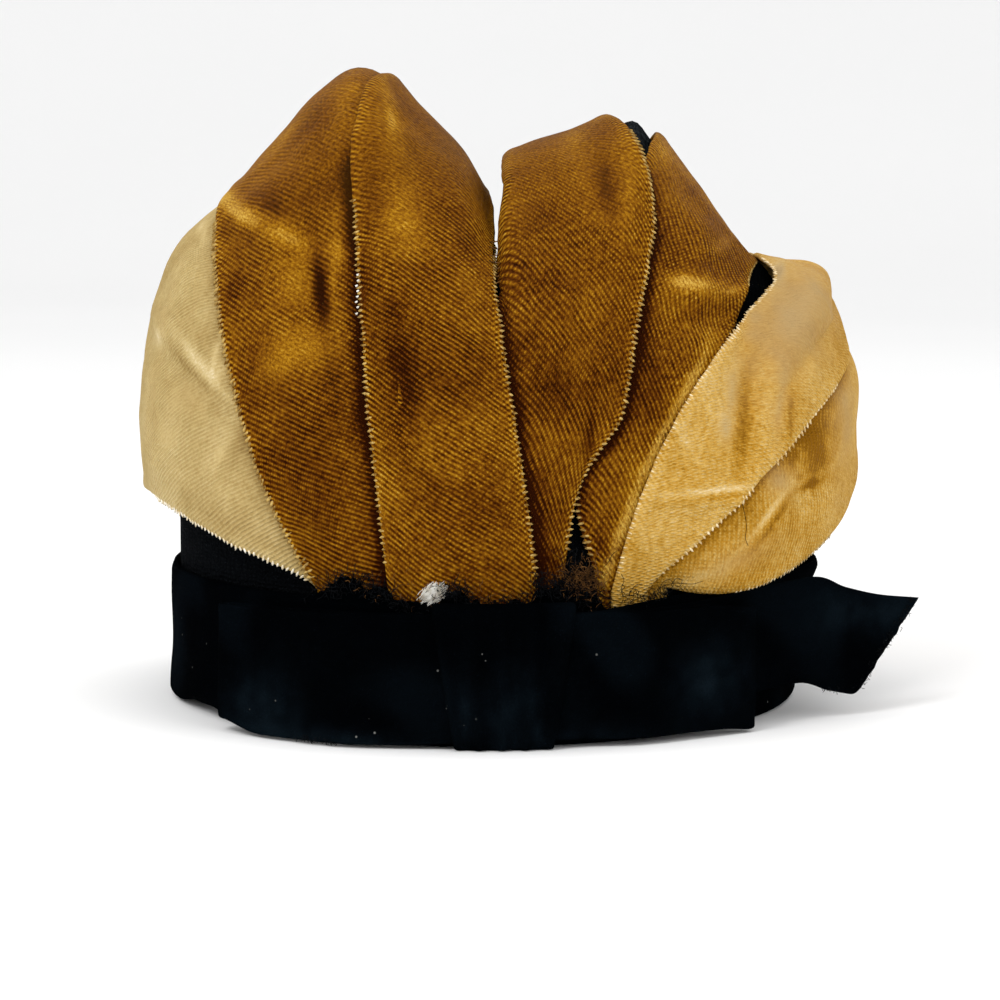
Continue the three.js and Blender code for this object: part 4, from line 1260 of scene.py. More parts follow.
@dataclass
class EdgeLoops:
    """Small loops of pile in a row along a path, each pointing outward from it."""

    shop: Workshop
    finish: Thread
    pitch: float
    length: float
    thickness: float
    jitter: float = 0.32

    def build(
        self, name: str, path: np.ndarray, outward: np.ndarray, normal: np.ndarray, seed: int,
    ) -> bpy.types.Object:
        """Lay the loops.

        Args:
            name: The new object's name.
            path: Points of the path.
            outward: At each point, the way that the loops point.
            normal: At each point, the way out of the cloth.
            seed: Number that the scatter starts from.

        Returns:
            One object with all the loops.
        """
        edges = [(k, k + 1) for k in range(len(path) - 1)]
        mesh = bpy.data.meshes.new(name)
        mesh.from_pydata((path + np.array(self.shop.axis)).tolist(), edges, [])
        for key, values in (("outward", outward), ("normal_out", normal)):
            attribute = mesh.attributes.new(key, "FLOAT_VECTOR", "POINT")
            attribute.data.foreach_set("vector", values.astype(np.float32).ravel())
        made = bpy.data.objects.new(name, mesh)
        bpy.context.scene.collection.objects.link(made)
        tree = self.tree()
        modifier = made.modifiers.new("loops", "NODES")
        modifier.node_group = tree
        values = {
            "Pitch": self.pitch, "Length": self.length, "Thickness": self.thickness, "Jitter": self.jitter,
            "Seed": seed, "Finish": self.shop.finish(self.finish),
        }
        for item in tree.interface.items_tree:
            if item.item_type == "SOCKET" and item.in_out == "INPUT" and item.name in values:
                modifier[item.identifier] = values[item.name]
        self.shop.evaluated(made)
        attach(made, BODY)
        return made

    @staticmethod
    def tree() -> bpy.types.NodeTree:
        """The node tree that lays one loop at each step along a path."""
        name = "row_of_loops"
        if name in bpy.data.node_groups:
            return bpy.data.node_groups[name]
        tree = bpy.data.node_groups.new(name, "GeometryNodeTree")
        face = tree.interface
        face.new_socket("Geometry", in_out="INPUT", socket_type="NodeSocketGeometry")
        for label in ("Pitch", "Length", "Thickness", "Jitter"):
            face.new_socket(label, in_out="INPUT", socket_type="NodeSocketFloat")
        face.new_socket("Seed", in_out="INPUT", socket_type="NodeSocketInt")
        face.new_socket("Finish", in_out="INPUT", socket_type="NodeSocketMaterial")
        face.new_socket("Geometry", in_out="OUTPUT", socket_type="NodeSocketGeometry")
        nodes, links = tree.nodes, tree.links

        def add(kind: str, settings: dict | None = None, inputs: dict | None = None) -> bpy.types.Node:
            """Add a node with its settings, values and links. A node as a value gives its first output."""
            made = nodes.new(kind)
            for key, value in (settings or {}).items():
                setattr(made, key, value)
            for key, value in (inputs or {}).items():
                if isinstance(value, bpy.types.Node):
                    value = value.outputs[0]
                if isinstance(value, bpy.types.NodeSocket):
                    links.new(value, made.inputs[key])
                else:
                    made.inputs[key].default_value = value
            return made

        start = add("NodeGroupInput").outputs
        line = add("GeometryNodeMeshToCurve", {}, {"Mesh": start["Geometry"]})
        spaced = {"Curve": line, "Length": start["Pitch"]}
        steps = add("GeometryNodeResampleCurve", {"mode": "LENGTH"}, spaced)
        bead = add("GeometryNodeMeshUVSphere", {}, {"Segments": 6, "Rings": 5, "Radius": 0.5})
        smooth = add("GeometryNodeSetShadeSmooth", {}, {"Geometry": bead})
        shift = add("GeometryNodeTransform", {}, {"Geometry": smooth, "Translation": (-0.06, 0.0, 0.0)})
        out = add("GeometryNodeInputNamedAttribute", {"data_type": "FLOAT_VECTOR"}, {"Name": "outward"})
        up = add("GeometryNodeInputNamedAttribute", {"data_type": "FLOAT_VECTOR"}, {"Name": "normal_out"})
        aimed = add("FunctionNodeAlignRotationToVector", {"axis": "X"}, {"Vector": out})
        upright = {"axis": "Z", "pivot_axis": "X"}
        turn = add("FunctionNodeAlignRotationToVector", upright, {"Rotation": aimed, "Vector": up})
        low = add("ShaderNodeMath", {"operation": "SUBTRACT"}, {0: 1.0, 1: start["Jitter"]})
        high = add("ShaderNodeMath", {"operation": "ADD"}, {0: 1.0, 1: start["Jitter"]})
        spread = {2: low, 3: high, "Seed": start["Seed"]}
        amount = add("FunctionNodeRandomValue", {"data_type": "FLOAT"}, spread)
        long = add("ShaderNodeMath", {"operation": "MULTIPLY"}, {0: start["Length"], 1: amount.outputs[1]})
        thick = add("ShaderNodeCombineXYZ", {}, {0: long, 1: start["Thickness"], 2: start["Thickness"]})
        tilts = {0: (-0.10, -0.25, -0.30), 1: (0.10, 0.15, 0.30), "Seed": start["Seed"]}
        lean = add("FunctionNodeRandomValue", {"data_type": "FLOAT_VECTOR"}, tilts)
        twist = add("FunctionNodeEulerToRotation", {}, {0: lean})
        both = add("FunctionNodeRotateRotation", {"rotation_space": "LOCAL"}, {0: turn, 1: twist})
        placed = {"Points": steps, "Instance": shift, "Rotation": both, "Scale": thick}
        copies = add("GeometryNodeInstanceOnPoints", {}, placed)
        real = add("GeometryNodeRealizeInstances", {}, {"Geometry": copies})
        dressed = add("GeometryNodeSetMaterial", {}, {"Geometry": real, "Material": start["Finish"]})
        add("NodeGroupOutput", {}, {0: dressed})
        return tree


# Crown


@dataclass(frozen=True)
class CrestPoint:
    """A point of the dome's ridge, and how far across the crown it stands."""

    across: float
    x: float
    z: float


@dataclass
class Crown:
    """The black dome under the petals, open below for the head."""

    shop: Workshop
    half_x: float = 0.0842
    half_y: float = 0.0910
    hem: float = 0.0020
    rim: float = 0.0480
    taper: float = 0.0016
    taper_from: float = 0.0372
    puff: float = 0.0090
    puff_top: float = 0.0410
    drawn_in: float = 0.06
    columns: int = 110
    rows: int = 96
    # Where light is painted on the crown's cloth: above a height and right of a place.
    bright_above: tuple[float, float] = (0.138, 0.150)
    bright_right_of: tuple[float, float] = (0.020, 0.030)
    weld: float = 1e-6
    levels: tuple[float, ...] = (0.002, 0.011, 0.020, 0.029, 0.0372, 0.0381, 0.039, 0.040, 0.042, 0.045)
    crest: tuple[CrestPoint, ...] = records(CrestPoint, (
        (0.00, -0.0842, 0.048), (0.10, -0.0840, 0.080), (0.20, -0.0740, 0.113), (0.30, -0.0550, 0.136),
        (0.40, -0.0310, 0.143), (0.50, 0.0, 0.116), (0.58, 0.0220, 0.140), (0.654, 0.0412, 0.1581),
        (0.692, 0.0468, 0.1524), (0.77, 0.0620, 0.130), (0.85, 0.0800, 0.1152), (0.93, 0.0915, 0.080),
        (1.00, 0.0932, 0.048),
    ))

    def wall(self, across: np.ndarray, level: np.ndarray | float) -> np.ndarray:
        """Points of the upright wall."""
        side, front = -np.cos(math.pi * across), np.sin(math.pi * across)
        taper = self.taper * step(self.taper_from, self.rim, level)
        puff = self.puff * np.maximum(0, side) ** 3 * step(self.taper_from, self.puff_top, level)
        return together(self.half_x * side + puff, -(self.half_y - taper) * front, level)

    def build(self) -> bpy.types.Object:
        """Build the crown and hide the part that it stands for."""
        across = np.linspace(0, 1, self.columns + 1)
        places = [p.across for p in self.crest]
        ridge_x = Curve(places, [p.x for p in self.crest])(across)
        ridge_z = Curve(places, [p.z for p in self.crest])(across)
        front = [self.wall(across, np.full_like(across, level)) for level in self.levels]
        rim = self.wall(across, np.full_like(across, self.rim))
        lines = list(front)
        for turn in np.linspace(0, math.pi, self.rows + 1):
            rise = math.sin(turn)
            lines.append(together(
                rim[:, 0] + (ridge_x - rim[:, 0]) * rise,
                rim[:, 1] * math.cos(turn) * (1 - self.drawn_in * rise),
                self.rim + (ridge_z - self.rim) * rise,
            ))
        lines += [line * np.array([1, -1, 1]) for line in reversed(front)]
        grid = np.stack(lines)
        count, wide = grid.shape[:2]
        faces = [
            (j * wide + i, j * wide + i + 1, (j + 1) * wide + i + 1, (j + 1) * wide + i)
            for j in range(count - 1) for i in range(wide - 1)
        ]
        cloth = together(grid[..., 0], lengths(grid[:, wide // 2])[:, None])
        # Painted light on the top of the crown.
        bright = step(*self.bright_above, grid[..., 2]) * step(*self.bright_right_of, grid[..., 0])
        made = self.shop.mesh("crown_cloth", grid, faces, {"cloth": cloth}, {"worn": bright})
        settle_normals(made, self.weld)
        wall = made.modifiers.new("wall", "SOLIDIFY")
        wall.thickness, wall.offset = CLOTH.crown_wall, -1.0
        self.shop.evaluated(made)
        self.shop.dress(made, CROWN_CLOTH, BLACK_SLOT)
        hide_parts("crown")
        log.info("crown: %d faces", len(made.data.polygons))
        return made


# Band


@dataclass
class Band:
    """The ring of black velvet round the foot of the hat, with its edges turned in."""

    shop: Workshop
    around: int = 260
    bulge: tuple[tuple[float, float], ...] = (
        (0.0, -0.0014), (0.03, -0.0002), (0.07, 0.0003), (0.5, -0.0006), (0.84, -0.0004), (0.94, -0.0004),
        (1.0, -0.0011),
    )
    turned_in: float = 0.0003
    dents: tuple[Dents, ...] = (Dents(0.00045, 0.022, 21.0), Dents(0.00015, 0.008, 25.0))

    def edges(self, angle: np.ndarray) -> tuple[np.ndarray, np.ndarray]:
        """Heights of the hem and the top edge at angles round the band."""
        x = BAND.outer_x * np.cos(np.radians(angle))
        dip = np.where(angle > 180, BAND.dip * bump_at(x, BAND.dip_x, BAND.dip_width), 0.0)
        lift = BAND.lift * bump_at(angle, BAND.lift_at, BAND.lift_width)
        return np.where(lift > 0.00005, lift, 0.0), BAND.height - dip

    def build(self) -> bpy.types.Object:
        """Build the band and hide the part that it stands for."""
        angle = np.linspace(0, 360, self.around, endpoint=False)
        hem, top = self.edges(angle)
        turn = np.minimum(angle, 360 - angle)
        flare = BAND.flare * bump_at(turn, 0.0, BAND.flare_width)
        outside = Curve(*zip(*self.bulge))
        levels = np.concatenate([
            np.linspace(0, 0.08, 5), np.linspace(0.14, 0.88, 13), np.linspace(0.93, 1.0, 5),
        ])
        east, north = np.cos(np.radians(angle)), np.sin(np.radians(angle))
        lines = []
        for face, (half_x, half_y) in enumerate(((BAND.outer_x, BAND.outer_y), (BAND.inner_x, BAND.inner_y))):
            for level in levels if face == 0 else levels[::-1]:
                set_out = outside(level) if face == 0 else self.turned_in * (level in (0.0, 1.0))
                off = set_out + flare * step(BAND.flare_from, 1.0, level)
                z = hem + (top - hem) * level
                lines.append(together((half_x + off) * east, (half_y + off) * north, z))
        grid = np.stack(lines, axis=1)
        outward = unit(grid * np.array([1.0, 1.0, 0.0]))
        calm = np.concatenate([bump_at(levels, 0.5, 0.42), np.zeros(len(levels))])
        grid = grid + outward * (dented(grid, *self.dents) * calm[None, :])[..., None]
        length = np.radians(angle) * (BAND.outer_x + BAND.outer_y) / 2
        cloth = together(length[:, None], grid[..., 2])
        faces = tube_faces(self.around, grid.shape[1], True)
        # The band's black pile carries painted sheen in patches.
        made = self.shop.mesh("band_cloth", grid, faces, {"cloth": cloth}, {"worn": worn(grid)})
        settle_normals(made)
        self.shop.dress(made, BLACK, BLACK_SLOT)
        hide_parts("band")
        return made


# Bow

# The heights of a ribbon's rows of points, from its hem (0) to its top edge (1).
RIBBON_LEVELS = np.concatenate([
    [0.0, 0.006, 0.02, 0.045], np.linspace(0.08, 0.92, 22), [0.955, 0.98, 0.994, 1.0],
])


def ribbon_half(edge: np.ndarray) -> np.ndarray:
    """Half the thickness of ribbon at a distance from its edge."""
    return half_wall(edge, CLOTH.ribbon_wall, CLOTH.edge_roll * 0.8)


@dataclass(frozen=True)
class LoopSizes:
    """A flat loop of the bow: where it leaves the knot, where it turns, and its edges along the way."""

    node: str
    knot_x: float
    end_x: float
    puff: float
    hem: tuple[float, ...]
    top: tuple[float, ...]


@dataclass(frozen=True)
class TailStation:
    """A place along the tail: where its hem and its top edge are."""

    hem_x: float
    hem_z: float
    top_x: float
    top_z: float


@dataclass
class Bow:
    """The flat bow in front of the band: two loops, a pleated knot and one loose tail.

    Each off is a distance in front of the band. hem_at gives the places along a loop, from the knot (0) to
    its fold (1), at which its hem and its top edge are given.
    """

    shop: Workshop
    tail_from: float = 0.045
    back_off: float = 0.00265
    fold_radius: float = 0.0023
    front_at_knot: float = 0.0041
    knot_x: float = 0.0055
    knot_top: float = 0.0171
    knot_foot: float = 0.0118
    knot_hem: float = 0.0006
    knot_crest: float = 0.0366
    knot_back: float = 0.0012
    knot_front: float = 0.0065
    tail_off: float = 0.0011
    run_columns: int = 60
    gathering: float = 0.0009
    gathers: float = 2.6
    pleat: float = 0.0009
    pleats: float = 4.4
    tear: float = 0.0009
    tear_size: float = 0.0022
    tail_width: float = 0.034
    ripple: float = 0.0005
    dents: tuple[Dents, ...] = (Dents(0.00042, 0.011, 31.0), Dents(0.00018, 0.005, 33.0))
    top_wander: Dents = Dents(0.0005, 0.009, 71.0)
    pleat_waver: Dents = Dents(0.25, 0.012, 0.0)
    hem_at: tuple[float, ...] = (0.0, 0.3, 0.85, 1.0)
    loops: tuple[LoopSizes, ...] = records(LoopSizes, (
        (
            "bow_left_loop", 0.001, -0.0635, 0.0016,
            (0.0022, 0.0011, 0.0009, 0.0034), (0.035, 0.0344, 0.034, 0.0335),
        ),
        (
            "bow_right_loop", 0.011, 0.0675, 0.0018,
            (0.0022, 0.0021, 0.0018, 0.0009), (0.035, 0.0344, 0.034, 0.033),
        ),
    ))
    tail: tuple[TailStation, ...] = records(TailStation, (
        (0.038, 0.0050, 0.038, 0.0335), (0.052, 0.0065, 0.052, 0.0345), (0.066, 0.0085, 0.066, 0.0360),
        (0.0825, 0.0104, 0.0865, 0.0384), (0.091, 0.0076, 0.096, 0.0348), (0.098, 0.0058, 0.106, 0.0319),
        (0.0998, 0.0068, 0.1175, 0.0300),
    ))

    def support(self, x: np.ndarray, off: np.ndarray | float) -> np.ndarray:
        """Points in plan on the bow's support line at x, moved outward by off."""
        x = np.asarray(x, float)
        held = np.minimum(x, self.tail_from)
        depth = oval_depth(BAND.outer_x, BAND.outer_y, held)
        slope = (BAND.outer_y / BAND.outer_x) ** 2 * held / depth
        outward = unit(np.stack([slope, -np.ones_like(slope)], axis=-1))
        line = np.stack([x, -depth + slope * (x - held)], axis=-1)
        return line + outward * np.asarray(off)[..., None]

    def ribbon(
        self, name: str, line: np.ndarray, hem: np.ndarray, top: np.ndarray, lift: np.ndarray,
    ) -> bpy.types.Object:
        """A ribbon that stands on edge along a line in plan.

        Args:
            name: The object's name.
            line: Points in plan [place, 2].
            hem: Height of its lower edge at each place.
            top: Height of its upper edge at each place.
            lift: How far its cloth stands out at [place, level].

        Returns:
            The ribbon.
        """
        along = np.gradient(line, axis=0)
        side = unit(together(along[:, 1], -along[:, 0]))
        top = top + dented(together(line[:, 0], line[:, 1], 0 * top), self.top_wander)
        height = (top - hem)[:, None]
        z = hem[:, None] + height * RIBBON_LEVELS[None, :]
        half = ribbon_half(np.minimum(RIBBON_LEVELS, 1 - RIBBON_LEVELS)[None, :] * height)
        flat = together(line[:, None, 0], line[:, None, 1], z)
        out = np.concatenate([side, np.zeros((len(side), 1))], axis=1)[:, None, :]
        middle = flat + out * (lift + dented(flat, *self.dents))[..., None]
        rings = section(middle + out * half[..., None], middle - out * half[..., None])
        length = lengths(line)
        made = self.velvet(name, rings, together(length[:, None], z), False)
        reach = (float((top - hem).max()), float(length[-1]))
        log.info("%s: %.0f mm of ribbon", name, length[-1] * 1000)
        return made

    def velvet(self, name: str, rings: np.ndarray, cloth: np.ndarray, closed: bool) -> bpy.types.Object:
        """A flat tube of black velvet.

        Args:
            name: The object's name.
            rings: Its cross sections [place, around, 3].
            cloth: Places on the cloth at [place, level], for one side.
            closed: True where the last section joins the first.

        Returns:
            The tube, with its finish and its body.
        """
        faces = tube_faces(len(rings), rings.shape[1], closed)
        # The bow's black pile carries painted sheen in patches.
        made = self.shop.mesh(name, rings, faces, {"cloth": ring_values(cloth)}, {"worn": worn(rings)})
        settle_normals(made)
        self.shop.dress(made, BLACK, BLACK_SLOT)
        return made

    def loop(self, sizes: LoopSizes) -> bpy.types.Object:
        """Build one loop: out along the band, round a soft fold, and back over itself to the knot."""
        to_end = math.copysign(1.0, sizes.end_x - sizes.knot_x)
        fold_x = sizes.end_x - to_end * self.fold_radius
        out = np.linspace(sizes.knot_x, fold_x, self.run_columns)
        turn = np.linspace(0, math.pi, 18)[1:-1]
        bend_x = fold_x + to_end * self.fold_radius * np.sin(turn)
        bend_off = self.back_off + self.fold_radius * (1 - np.cos(turn))
        share = (out[::-1] - sizes.knot_x) / (fold_x - sizes.knot_x)
        spread = step(0.2, 0.75, share)
        front = self.front_at_knot + (self.back_off + 2 * self.fold_radius - self.front_at_knot) * spread
        front = front + sizes.puff * np.sin(math.pi * spread)
        x = np.concatenate([out, bend_x, out[::-1]])
        off = np.concatenate([np.full_like(out, self.back_off), bend_off, front])
        place = np.clip((x - sizes.knot_x) / (fold_x - sizes.knot_x), 0, 1)
        hem, top = Curve(self.hem_at, sizes.hem)(place), Curve(self.hem_at, sizes.top)(place)
        is_front = np.arange(len(x)) > len(out) + len(turn)
        near = self.gathering * bump_at(place, 0.12, 0.22) * is_front
        waves = np.cos(np.linspace(0, 1, len(RIBBON_LEVELS)) * math.tau * self.gathers + 0.7)
        gathers = near[:, None] * (waves[None, :] - 1) * 0.5
        made = self.ribbon(sizes.node + "_cloth", self.support(x, off), hem, top, gathers)
        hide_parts(sizes.node)
        return made

    def knot(self) -> bpy.types.Object:
        """Build the pleated wrap round the middle of the bow."""
        low, high, back, front = self.knot_hem, self.knot_crest, self.knot_back, self.knot_front
        corners = np.array([
            (back, low + 0.001), (back, high - 0.001), (back + 0.0007, high), (front - 0.0012, high),
            (front, high - 0.0012), (front + 0.0005, high * 0.75), (front + 0.0008, high * 0.5),
            (front + 0.0005, high * 0.25), (front, low + 0.0012), (front - 0.0012, low), (back + 0.0007, low),
        ])
        closed = np.vstack([corners, corners[:1]])
        reach = lengths(closed)
        even = np.linspace(0, reach[-1], 120, endpoint=False)
        path = together(*(np.interp(even, reach, closed[:, k]) for k in (0, 1)))
        for _ in range(3):
            path = (np.roll(path, 1, axis=0) + 2 * path + np.roll(path, -1, axis=0)) / 4
        along = np.roll(path, -1, axis=0) - np.roll(path, 1, axis=0)
        normal = unit(together(-along[:, 1], along[:, 0]))
        share = np.concatenate([
            [-1.0, -0.985, -0.96, -0.92], np.linspace(-0.88, 0.88, 58), [0.92, 0.96, 0.985, 1.0],
        ])[None, :]
        width = (self.knot_foot + (self.knot_top - self.knot_foot) * path[:, 1] / high)[:, None]
        half = ribbon_half((1 - np.abs(share)) * width)
        is_front = step(front - 0.0018, front - 0.0002, path[:, 0])[:, None]
        waver = dented(together(0.0, 0.0, path[:, 1]), self.pleat_waver)[:, None]
        folds = np.cos(math.pi * self.pleats * (share + waver * 0.5) + 0.6)
        pleats = (self.pleat * folds - self.pleat * share ** 4) * is_front
        layers = []
        for sign in (1.0, -1.0):
            off = sign * half + pleats
            r = path[:, 0, None] + normal[:, 0, None] * off
            z = path[:, 1, None] + normal[:, 1, None] * off
            plan = self.support(self.knot_x + width * share, r)
            layers.append(np.concatenate([plan, z[..., None]], axis=-1))
        made = self.velvet("bow_knot_cloth", section(*layers), together(width * share, even[:, None]), True)
        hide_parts("bow_knot")
        log.info("knot: %.0f mm of ribbon", reach[-1] * 1000)
        return made

    def tail_piece(self) -> bpy.types.Object:
        """Build the loose tail, which ends in a slanting cut."""
        places = np.linspace(0, len(self.tail) - 1, 90)
        hem_x, hem_z, top_x, top_z = (
            Curve(range(len(self.tail)), [getattr(s, key) for s in self.tail])(places)[:, None]
            for key in ("hem_x", "hem_z", "top_x", "top_z")
        )
        x = hem_x + (top_x - hem_x) * RIBBON_LEVELS
        z = hem_z + (top_z - hem_z) * RIBBON_LEVELS
        torn = step(len(self.tail) - 1.6, len(self.tail) - 1, places)[:, None]
        x = x + torn * self.tear * crumple(together(0.0, 0.0, z), self.tear_size, 51.0)
        half = ribbon_half(np.minimum(RIBBON_LEVELS, 1 - RIBBON_LEVELS)[None, :] * (top_z - hem_z))
        half = half * np.sqrt(np.clip((len(self.tail) - 1 - places) / 0.08, 0.02, 1.0))[:, None]
        ripple = self.ripple * np.sin(x / 0.012) * step(0.06, 0.09, x)
        sides = []
        for sign in (1.0, -1.0):
            plan = self.support(x, self.tail_off + ripple + sign * half)
            sides.append(np.concatenate([plan, z[..., None]], axis=-1))
        made = self.velvet("bow_tail_cloth", section(*sides), together(x, z), False)
        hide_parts("bow_tail")
        reach = float(x.max() - x.min()) * 1.15
        return made

    def build(self) -> None:
        """Build the whole bow."""
        for sizes in self.loops:
            self.loop(sizes)
        self.knot()
        self.tail_piece()


# Loose fibres


@dataclass
class Fibres:
    """Fine hairs, each a thin tube with three sides that narrows to its tip."""

    shop: Workshop
    tip: float = 0.35

    def tubes(
        self, name: str, paths: Sequence[np.ndarray], finish: Thread, radius: float,
    ) -> bpy.types.Object:
        """One object with a thin tube along each path."""
        points, faces = [], []
        for path in paths:
            along = unit(np.gradient(path, axis=0))
            side = unit(np.cross(along, np.array([0.3, 0.5, 0.81])))
            other = np.cross(along, side)
            first = len(points)
            count = len(path)
            thin = radius * np.concatenate([np.ones(count - 1), [self.tip]])
            for k in range(count):
                for turn in (0.0, math.tau / 3, 2 * math.tau / 3):
                    points.append(path[k] + thin[k] * (side[k] * math.cos(turn) + other[k] * math.sin(turn)))
            for k in range(count - 1):
                a, b = first + 3 * k, first + 3 * k + 3
                faces += [(a + i, a + (i + 1) % 3, b + (i + 1) % 3, b + i) for i in range(3)]
            faces += [(first + 2, first + 1, first), tuple(first + 3 * (count - 1) + i for i in range(3))]
        made = self.shop.mesh(name, np.array(points), faces)
        made.data.materials.append(self.shop.finish(finish))
        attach(made, BODY)
        return made


@dataclass(frozen=True)
class Thicket:
    """Frayed hairs along a line: its ends, how far they scatter from it, and which way they point."""

    start: Place
    end: Place
    scatter: Place
    count: int
    length: float
    heading: Place = (0.0, -0.4, 0.7)
    stray: float = 0.8


@dataclass
class Fraying:
    """The ragged top of the bow's backing, frayed hairs, a white tuft, loose threads and stitches.

    curl is how far a hair turns at each of its points, and floor the height that it stays above. rags are the
    two sizes of the raggedness of the backing's top.
    """

    shop: Workshop
    fan: Fan
    fibres: Fibres
    seed: int = 41
    inset: float = 0.0013
    ragged_foot: float = 0.0300
    ragged_half: float = 0.00042
    lumps: Dents = Dents(0.00035, 0.0018, 67.0)
    rags: tuple[Dents, ...] = (Dents(0.0011, 0.0019, 61.0), Dents(0.0007, 0.0007, 63.0))
    hair_points: int = 6
    curl: float = 0.42
    floor: float = 0.0003
    ragged_top: tuple[tuple[float, float], ...] = (
        (-0.0450, 0.0345), (-0.0426, 0.0375), (-0.0390, 0.0395), (-0.0353, 0.0425), (-0.0315, 0.0422),
        (-0.0293, 0.0395), (-0.0252, 0.0406), (-0.0230, 0.0386), (-0.0202, 0.0370), (-0.0157, 0.0366),
        (-0.0120, 0.0372), (-0.0092, 0.0394), (-0.0050, 0.0398), (-0.0027, 0.0376), (0.0008, 0.0366),
        (0.0036, 0.0361), (0.0094, 0.0376), (0.0121, 0.0362), (0.0140, 0.0402), (0.0159, 0.0400),
        (0.0194, 0.0410), (0.0230, 0.0385), (0.0270, 0.0392), (0.0299, 0.0375), (0.0316, 0.0345),
        (0.0370, 0.0330),
    )
    black: tuple[Thicket, ...] = records(Thicket, (
        ((-0.041, 0, 0.0375), (-0.030, 0, 0.0425), (0.002, 0, 0.0012), 130, 0.0034),
        ((-0.031, 0, 0.0410), (-0.021, 0, 0.0365), (0.002, 0, 0.0012), 130, 0.0032),
        ((-0.011, 0, 0.0385), (-0.003, 0, 0.0390), (0.001, 0, 0.0012), 130, 0.0034),
        ((-0.021, 0, 0.0355), (-0.014, 0, 0.0350), (0.001, 0, 0.0008), 50, 0.0026),
        ((-0.003, 0, 0.0365), (0.013, 0, 0.0365), (0.002, 0, 0.0008), 120, 0.0028),
        ((0.013, 0, 0.0395), (0.022, 0, 0.0410), (0.001, 0, 0.0016), 170, 0.0036),
        ((0.021, 0, 0.0400), (0.024, 0, 0.0470), (0.001, 0, 0.0014), 60, 0.0036),
        ((0.024, 0, 0.0385), (0.031, 0, 0.0370), (0.001, 0, 0.0014), 120, 0.0034),
        ((0.038, 0, 0.0362), (0.048, 0, 0.0372), (0.001, 0, 0.0006), 70, 0.0022),
    ))
    brown: tuple[Thicket, ...] = records(Thicket, (
        ((0.021, 0, 0.0430), (0.029, 0, 0.0400), (0.001, 0, 0.0022), 190, 0.0034),
        ((0.026, 0, 0.0460), (0.031, 0, 0.0400), (0.001, 0, 0.0018), 80, 0.0030),
        ((-0.041, 0, 0.0400), (0.014, 0, 0.0385), (0.001, 0, 0.0016), 60, 0.0026),
    ))
    ends: tuple[Thicket, ...] = records(Thicket, (
        (
            (0.1155, -0.0385, 0.0300), (0.1000, -0.0490, 0.0080), (0.0006, 0.0003, 0.0006),
            130, 0.0019, (1.0, 0, -0.6), 0.5,
        ),
        (
            (0.0985, -0.0500, 0.0072), (0.0900, -0.0555, 0.0085), (0.0006, 0.0003, 0.0003),
            50, 0.0014, (0.2, 0, -1.0), 0.5,
        ),
        (
            (0.0690, -0.0650, 0.0040), (0.0665, -0.0660, 0.0012), (0.0006, 0.0006, 0.0004),
            40, 0.0018, (0.6, 0, -0.5), 0.6,
        ),
        (
            (-0.0470, -0.0930, 0.0016), (-0.0370, -0.0975, 0.0014), (0.0008, 0.0006, 0.0003),
            70, 0.0017, (-0.2, -0.4, -0.3), 0.7,
        ),
    ))
    tuft_at: tuple[float, float] = (-0.0130, 0.0380)
    tuft_count: int = 420
    threads: tuple[tuple[tuple[float, float], ...], ...] = (
        ((0.0656, 0.0592), (0.0662, 0.0565), (0.0666, 0.0535), (0.0663, 0.0510), (0.0670, 0.0488)),
        ((0.0343, 0.0430), (0.0349, 0.0412), (0.0341, 0.0390), (0.0346, 0.0366), (0.0340, 0.0350)),
        ((0.0344, 0.0402), (0.0350, 0.0395), (0.0343, 0.0385), (0.0350, 0.0378), (0.0344, 0.0372)),
        ((0.0166, 0.0500), (0.0176, 0.0488), (0.0188, 0.0478), (0.0200, 0.0462)),
        ((0.0300, 0.0450), (0.0312, 0.0462), (0.0322, 0.0480), (0.0334, 0.0490)),
        (
            (0.0440, 0.0385), (0.0452, 0.0402), (0.0470, 0.0408), (0.0482, 0.0396), (0.0474, 0.0382),
            (0.0456, 0.0384),
        ),
        ((0.0475, 0.0392), (0.0492, 0.0412), (0.0506, 0.0404), (0.0500, 0.0388), (0.0486, 0.0392)),
        ((0.0420, 0.0372), (0.0450, 0.0390), (0.0490, 0.0398), (0.0530, 0.0396), (0.0560, 0.0404)),
        ((0.0358, 0.0370), (0.0372, 0.0392), (0.0384, 0.0400), (0.0396, 0.0396)),
    )
    stitches: tuple[tuple[float, float, float], ...] = (
        (-0.0502, -0.0511, 0.1267), (-0.0535, -0.0531, 0.1250), (-0.0568, -0.0552, 0.1233),
        (-0.0605, -0.0572, 0.1215), (-0.0631, -0.0592, 0.1198), (-0.0648, -0.0614, 0.1181),
        (-0.0672, -0.0641, 0.1164),
    )
    specks: tuple[float, ...] = (0.1160, 0.1146, 0.1133, 0.1120, 0.1106, 0.1093, 0.1080, 0.1064)

    def build(self) -> None:
        """Build all of it."""
        rng = np.random.default_rng(self.seed)
        self.ragged_strip()
        for name, thickets, finish, radius in (
            ("frayed_black_hairs", self.black, BLACK_THREAD, 0.00010),
            ("frayed_brown_hairs", self.brown, BROWN_FLUFF, 0.00009),
            ("frayed_ends", self.ends, BLACK_THREAD, 0.00008),
        ):
            self.hairs(name, thickets, finish, rng, radius)
        self.tuft(rng)
        self.sewing()

    def plan(self, x: np.ndarray | float) -> np.ndarray | float:
        """The y in front of the petals' feet, behind the band's outer face, at x."""
        return -oval_depth(BAND.outer_x, BAND.outer_y, x) + self.inset

